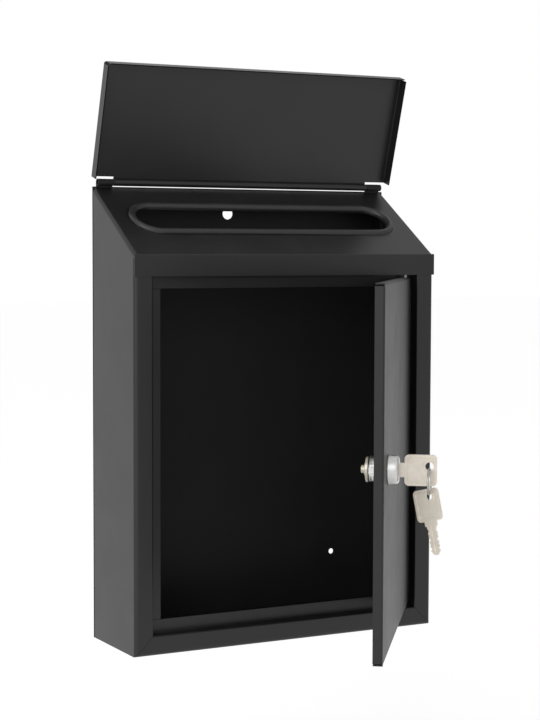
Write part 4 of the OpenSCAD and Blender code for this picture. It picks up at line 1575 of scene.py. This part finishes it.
    def hex_nut(self) -> Solid:
        """Returns the nut with its chamfered corners, behind the washer."""
        half, height = self.nut
        front = -self.door.body.sheet - self.washer[1]
        back = front - height
        sector = radians(60)
        corner = half / cos(sector / 2)
        lead, margin, fall = self.nut_edges
        bore, flat = self.barrel[0] + self.play, half - margin

        def six(radius: float, at: float, angle: float) -> float:
            """Gives the turned blank its six flats."""
            turned = (angle + sector / 2) % sector - sector / 2
            return min(radius, half / cos(turned)) if radius > bore + lead else radius

        steps, rise = 5, corner - flat
        profile = [(bore + lead, back), (flat, back)]
        profile += [(flat + rise * k / steps, back + fall * k / steps) for k in range(1, steps + 1)]
        profile += [(corner - rise * k / steps, front - fall + fall * k / steps) for k in range(steps + 1)]
        profile += [(bore + lead, front), (bore, front - lead), (bore, back + lead)]
        return Solid.lathe(profile, self.place, 120, six)

    def plug(self) -> Solid:
        """Returns the plug with its collar, its driving square and its keyway."""
        collar_r, collar_h = self.collar
        plug_r, front, back = self.plug_r, self.front, -self.back
        (heel, edge), (ring, step, deep) = self.plug_edges, self.dish
        profile = [(0.0, back), (plug_r - heel, back), (plug_r, back + heel), (plug_r, front - collar_h),
                   (collar_r, front - collar_h), (collar_r, front - edge), (collar_r - edge, front),
                   (collar_r - ring, front), (collar_r - ring - step, front - deep), (0.0, front - deep)]
        solid = Solid.lathe(profile, UPRIGHT, 72)
        s = self.square
        solid.add(Solid.block((-s, -s, -self.cam_back - self.square_end), (s, s, back + PAST)))
        width, height, depth = self.keyway
        half_w, half_h, mouth = width / 2, height / 2, self.head[1] + self.key_gap
        solid.cut(Solid.block((-half_w, -half_h, mouth - depth), (half_w, half_h, self.head[1] + 2 * PAST)))
        screw = Solid.prism(circle(self.screw_r, 24), -self.cam_back - 2 * PAST, self.end_play - self.back)
        return solid.cut(screw).copy(self.place)

    def arm(self) -> Solid:
        """Returns the cam: a flat arm with a round hub and a square hole."""
        reach, width, _ = self.cam
        half = width / 2
        low, high = -self.cam_back, -self.cam_front
        lean = asin(half / self.hub_r)
        hub = arc((0.0, 0.0), self.hub_r, lean, 2 * pi - 2 * lean, 56)
        tip = arc((reach - half, 0.0), half, -pi / 2, pi, 30)
        s = self.square + self.square_gap
        hole = Solid.block((-s, -s, low - PAST), (s, s, high + PAST))
        return Solid.prism(hub + tip, low, high).cut(hole).copy(self.place)

    def cap_screw(self) -> Solid:
        """Returns the screw that holds the cam, with its washer and its driver slot."""
        head_r, head_h, washer_r, washer_h = self.screw
        seat, core = -self.cam_back - self.end_play, self.end_play - self.back
        under = seat - washer_h
        back = under - head_h
        profile = [(0.0, back)] + dome(head_r, back, self.screw_dome)
        profile += [(head_r, under), (washer_r, under), (washer_r, seat), (self.screw_r, seat),
                    (self.screw_r, core), (0.0, core)]
        (half, deep), side = self.slot, head_r + PAST
        slot = Solid.block((-half, -side, back - PAST), (half, side, back + deep))
        return Solid.lathe(profile, UPRIGHT, 48).cut(slot).copy(self.place)


# ---- The keys ----


@dataclass
class Keys:
    """The key in the lock, the split ring and the spare key.

    Attributes:
        bow: Length, width and corner radius of a bow.
        neck: Length and width of the neck.
        blade: Length and width of the blade.
        thick: Thickness of a key.
        hole: Radius of the hole, its distance from the bow's end and from the middle.
        border: Width of the raised border.
        sink: Depth of the sunk ground inside it.
        ditch: Width and further depth of the line where the ground meets the border.
        offset: How far the line's outer wall stands inside the ground's.
        boss_in: How much narrower the boss round the hole is than the border.
        groove: Half width and depth of the groove along the blade, its distance from the middle and its
            distance from the shoulder.
        tip: Length and half width of the blade's tip.
        cuts: Depth of each cut.
        first_cut: Where the cuts start.
        cut_flat: Half width of a cut's bottom.
        crest: How far a cut's flanks would run out past the blade's edge.
        blade_in: How far the blade reaches into the neck.
        ring: Radius of the ring and of its wire.
        spare_turn: How far the spare key is turned on the ring, in radians.
        spare_tilt: How far it hangs out of plumb, in radians.
        half_step: Half of the distance between the ring's two turns.
    """

    finishes: Finishes
    lock: Lock
    bow: Triple = (22.5, 21.8, 3.0)
    neck: Point2 = (3.4, 10.0)
    blade: Point2 = (20.3, 7.4)
    thick: float = 1.8
    hole: Triple = (2.9, 5.2, 2.8)
    border: float = 2.0
    sink: float = 0.25
    ditch: Point2 = (0.6, 0.25)
    offset: float = 0.05
    boss_in: float = 0.9
    groove: tuple[float, float, float, float] = (0.65, 0.45, 0.2, 0.6)
    tip: Point2 = (3.0, 1.0)
    cuts: tuple[float, ...] = (0.9, 0.3, 1.2, 0.6, 1.0)
    first_cut: float = 1.5
    cut_flat: float = 0.4
    crest: float = 0.1
    blade_in: float = 0.6
    ring: Point2 = (8.7, 0.6)
    spare_turn: float = radians(35.0)
    spare_tilt: float = radians(14.0)
    half_step: float = 0.57

    def __post_init__(self) -> None:
        """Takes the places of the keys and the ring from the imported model."""
        lock = self.lock
        shoulder = lock.origin + lock.out * (lock.head[1] + lock.key_gap)
        self.in_lock = axes(shoulder, lock.out, lock.up, -lock.side)
        low, high = node_box("key_ring")
        self.round_ring = axes((low + high) / 2, lock.up, lock.side, lock.out)
        self.hole_at = Vector((self.neck[0] + self.bow[0] - self.hole[1], self.hole[2], 0))
        turned = axes(joint_place("spare_swing"), lock.side, lock.up, lock.out)
        hung = Matrix.Rotation(-self.spare_turn, 4, "Y") @ Matrix.Rotation(-pi / 2, 4, "Y")
        swung = Matrix.Rotation(pi / 2 + self.spare_tilt, 4, "Z")
        to_hole = shift(-self.hole_at.x, self.hole_at.y, 0)
        self.on_ring = turned @ hung @ swung @ to_hole @ Matrix.Diagonal((1, -1, 1, 1))

    def build(self) -> None:
        """Builds both keys and the ring."""
        wear = self.finishes
        # The spare key wears the lighter copy of the key metal: painted light.
        for name, node, place, metal in (("stamped_key", "key", self.in_lock, wear.key),
                                         ("stamped_spare_key", "spare_key", self.on_ring, wear.spare)):
            finish_piece(self.key().copy(place), Dressing(name, node, "key_metal", metal, wear.key_edge, node,
                                                          Edging(0.16, 30.0, 2)))
        middle, thick = self.ring
        wire = ring_tree().grow(self.round_ring, wear.wire, Ring_Radius=middle, Wire_Radius=thick,
                                Half_Step=self.half_step)
        finish_piece(wire, Dressing("split_ring", "key_ring", "ring_wire", wear.wire, wear.wire, "key_ring",
                                    Edging(width=0.0)))

    def key(self) -> Solid:
        """Returns a key lying flat, with its bow along +X and its shoulder at zero."""
        bow_l, bow_w, bow_r = self.bow
        neck_l, neck_w = self.neck
        blade_l, blade_w = self.blade
        z, hole = self.thick / 2, (self.hole_at.x, self.hole_at.y)
        solid = Solid.prism(rounded_box(neck_l, -bow_w / 2, neck_l + bow_l, bow_w / 2, bow_r, 10), -z, z)
        solid.add(Solid.block((0.0, -neck_w / 2, -z), (neck_l + bow_r, neck_w / 2, z)))
        solid.add(self.toothed_blade(blade_l, blade_w, z))
        solid.cut(Solid.prism(circle(self.hole[0], 48, hole), -2 * PAST, 2 * PAST))

        def pocket(edge: float, deep: float) -> Solid:
            """Returns a block inside the bow's border, down to a depth, with a hollow for the boss."""
            inside = rounded_box(neck_l + edge, edge - bow_w / 2, neck_l + bow_l - edge, bow_w / 2 - edge,
                                 bow_r - edge / 2, 8)
            block = Solid.prism(inside, *sorted((way * (z - deep), way * (z + PAST + deep))))
            boss = circle(self.hole[0] + edge - self.boss_in, 48, hole)
            return block.cut(Solid.prism(boss, *sorted((way * (z - PAST), way * (z + 2 * PAST)))))

        for way in (1, -1):
            solid.cut(pocket(self.border, self.sink))
            line, deep = self.ditch
            ditch = pocket(self.border + self.offset, self.sink + deep)
            solid.cut(ditch.cut(pocket(self.border + line, self.sink + deep + 2 * self.offset)))
            half, cut, side, end = self.groove
            low, middle = z - cut if way > 0 else -z, side * way
            solid.cut(Solid.block((-blade_l - PAST, middle - half, low), (-end, middle + half, low + cut)))
        return solid

    def toothed_blade(self, length: float, width: float, z: float) -> Solid:
        """Returns the blade with the same cuts on both of its edges."""
        pitch = (length - self.tip[0] - self.first_cut) / len(self.cuts)
        half = width / 2
        flat, crest = self.cut_flat, self.crest
        top: list[Point2] = [(self.blade_in, half)]
        for k, depth in enumerate(self.cuts):
            middle = -self.first_cut - pitch * (k + 0.5)
            wide = pitch / 2 - (pitch / 2 - flat) * crest / (depth + crest)
            top += [(middle + wide, half), (middle + flat, half - depth), (middle - flat, half - depth),
                    (middle - wide, half)]
        top += [(self.tip[0] - length, half), (-length, self.tip[1])]
        bottom = [(x, -y) for x, y in reversed(top)]
        return Solid.prism(top + bottom, -z, z)


# ---- The studio ----


@dataclass
class Studio:
    """The camera, the lamp, the floor and the white world round the mailbox.

    Attributes:
        view_from: Place of the camera in metres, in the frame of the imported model.
        forward: Direction it looks in.
        upward: Its up direction.
        focal: Focal length as a share of the image's long side.
        sensor: Width of the sensor in millimetres.
        clip: Nearest and farthest distance that is seen, in metres.
        plain: Strength of the studio's light where only a dull surface sees it.
        floor_drop: Distance of the floor below the box in metres.
        floor_size: Side of the floor in metres.
        floor_glow: Strength of the floor's own light where a dull surface can't see it.
        shade_from: How far right a direction points where the studio starts to darken and where that ends.
        shade: Light from the right of the studio, as a share of the light from the left.
        lamp: Place of the soft lamp in metres.
        lamp_at: Place that it shines at.
        lamp_size: Side of the lamp in metres.
        lamp_power: Power of the lamp in watts.
    """

    view_from: Triple = (-0.650488, -1.265149, 0.255033)
    forward: Triple = (0.470068, 0.880220, -0.065179)
    upward: Triple = (0.028061, 0.058905, 0.997869)
    focal: float = 1765.88 / 720
    sensor: float = 36.0
    clip: Point2 = (0.05, 30.0)
    plain: float = 0.62
    floor_drop: float = 0.16
    floor_size: float = 24.0
    floor_glow: float = 0.45
    shade_from: Point2 = (0.3, 0.7)
    shade: float = 0.56
    lamp: Triple = (-1.7, -1.4, 1.1)
    lamp_at: Triple = (0.0, 0.0, 0.15)
    lamp_size: float = 1.8
    lamp_power: float = 19.0

    def build(self) -> None:
        """Sets up everything that isn't part of the mailbox."""
        self.camera()
        self.world()
        self.soft_lamp()
        self.floor()
        bpy.context.scene.view_settings.view_transform = "Standard"

    def camera(self) -> None:
        """Makes the camera."""
        data = bpy.data.cameras.new("camera")
        data.sensor_width = self.sensor
        data.sensor_fit = "AUTO"
        data.lens = self.sensor * self.focal
        data.clip_start, data.clip_end = self.clip
        camera = bpy.data.objects.new("camera", data)
        bpy.context.scene.collection.objects.link(camera)
        back = -Vector(self.forward)
        up = Vector(self.upward)
        right = up.cross(back)
        camera.matrix_world = axes(Vector(self.view_from), *(way.normalized() for way in (right, up, back)))
        bpy.context.scene.camera = camera

    def world(self) -> None:
        """Makes the world: plain light, and white where the camera or a reflection sees it."""
        world = bpy.data.worlds.new("studio")
        bpy.context.scene.world = world
        world.use_nodes = True
        tree = world.node_tree
        background = tree.nodes["Background"]
        background.inputs["Color"].default_value = (1, 1, 1, 1)
        way = add_node(tree, "ShaderNodeTexCoord").outputs["Generated"]
        right = add_node(tree, "ShaderNodeSeparateXYZ", {0: way}).outputs["X"]
        shade = span(tree, right, *self.shade_from, 1.0, self.shade)
        camera = add_node(tree, "ShaderNodeLightPath").outputs["Is Camera Ray"]
        light = maths(tree, "MULTIPLY", span(tree, seen_by_eye(tree), 0.0, 1.0, self.plain, 1.0), shade)
        tree.links.new(span(tree, camera, 0.0, 1.0, light, 1.0), background.inputs["Strength"])

    def soft_lamp(self) -> None:
        """Makes one large soft lamp at the upper left."""
        data = bpy.data.lights.new("left_softbox", "AREA")
        data.shape, data.size, data.energy = "SQUARE", self.lamp_size, self.lamp_power
        lamp = bpy.data.objects.new("left_softbox", data)
        bpy.context.scene.collection.objects.link(lamp)
        lamp.location = self.lamp
        lamp.rotation_mode = "QUATERNION"
        lamp.rotation_quaternion = (Vector(self.lamp) - Vector(self.lamp_at)).to_track_quat("Z", "Y")

    def floor(self) -> None:
        """Makes the plain pale floor, well below the box because the box hangs on a wall."""
        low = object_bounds()[0].z - self.floor_drop
        bpy.ops.mesh.primitive_plane_add(size=self.floor_size, location=(0, 0, low))
        floor = bpy.context.object
        floor.name = "floor"
        material, tree, shader = new_material("pale_floor")
        for label, value in (("Base Color", (0.93, 0.93, 0.93, 1)), ("Roughness", 0.9),
                             ("Specular IOR Level", 0.1), ("Emission Color", (1, 1, 1, 1))):
            shader.inputs[label].default_value = value
        glow = span(tree, seen_by_eye(tree), 0.0, 1.0, 0.0, self.floor_glow)
        tree.links.new(glow, shader.inputs["Emission Strength"])
        floor.data.materials.append(material)
        floor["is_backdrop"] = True


def main() -> None:
    logging.basicConfig(level=logging.INFO, format="%(name)s: %(message)s")
    finishes = Finishes(Effects())
    body = Body(finishes)
    body.build()
    Lid(finishes, body).build()
    door = Door(finishes, body)
    door.build()
    lock = Lock(finishes, door)
    lock.build()
    Keys(finishes, lock).build()
    Studio().build()


if __name__ == "__main__":
    main()
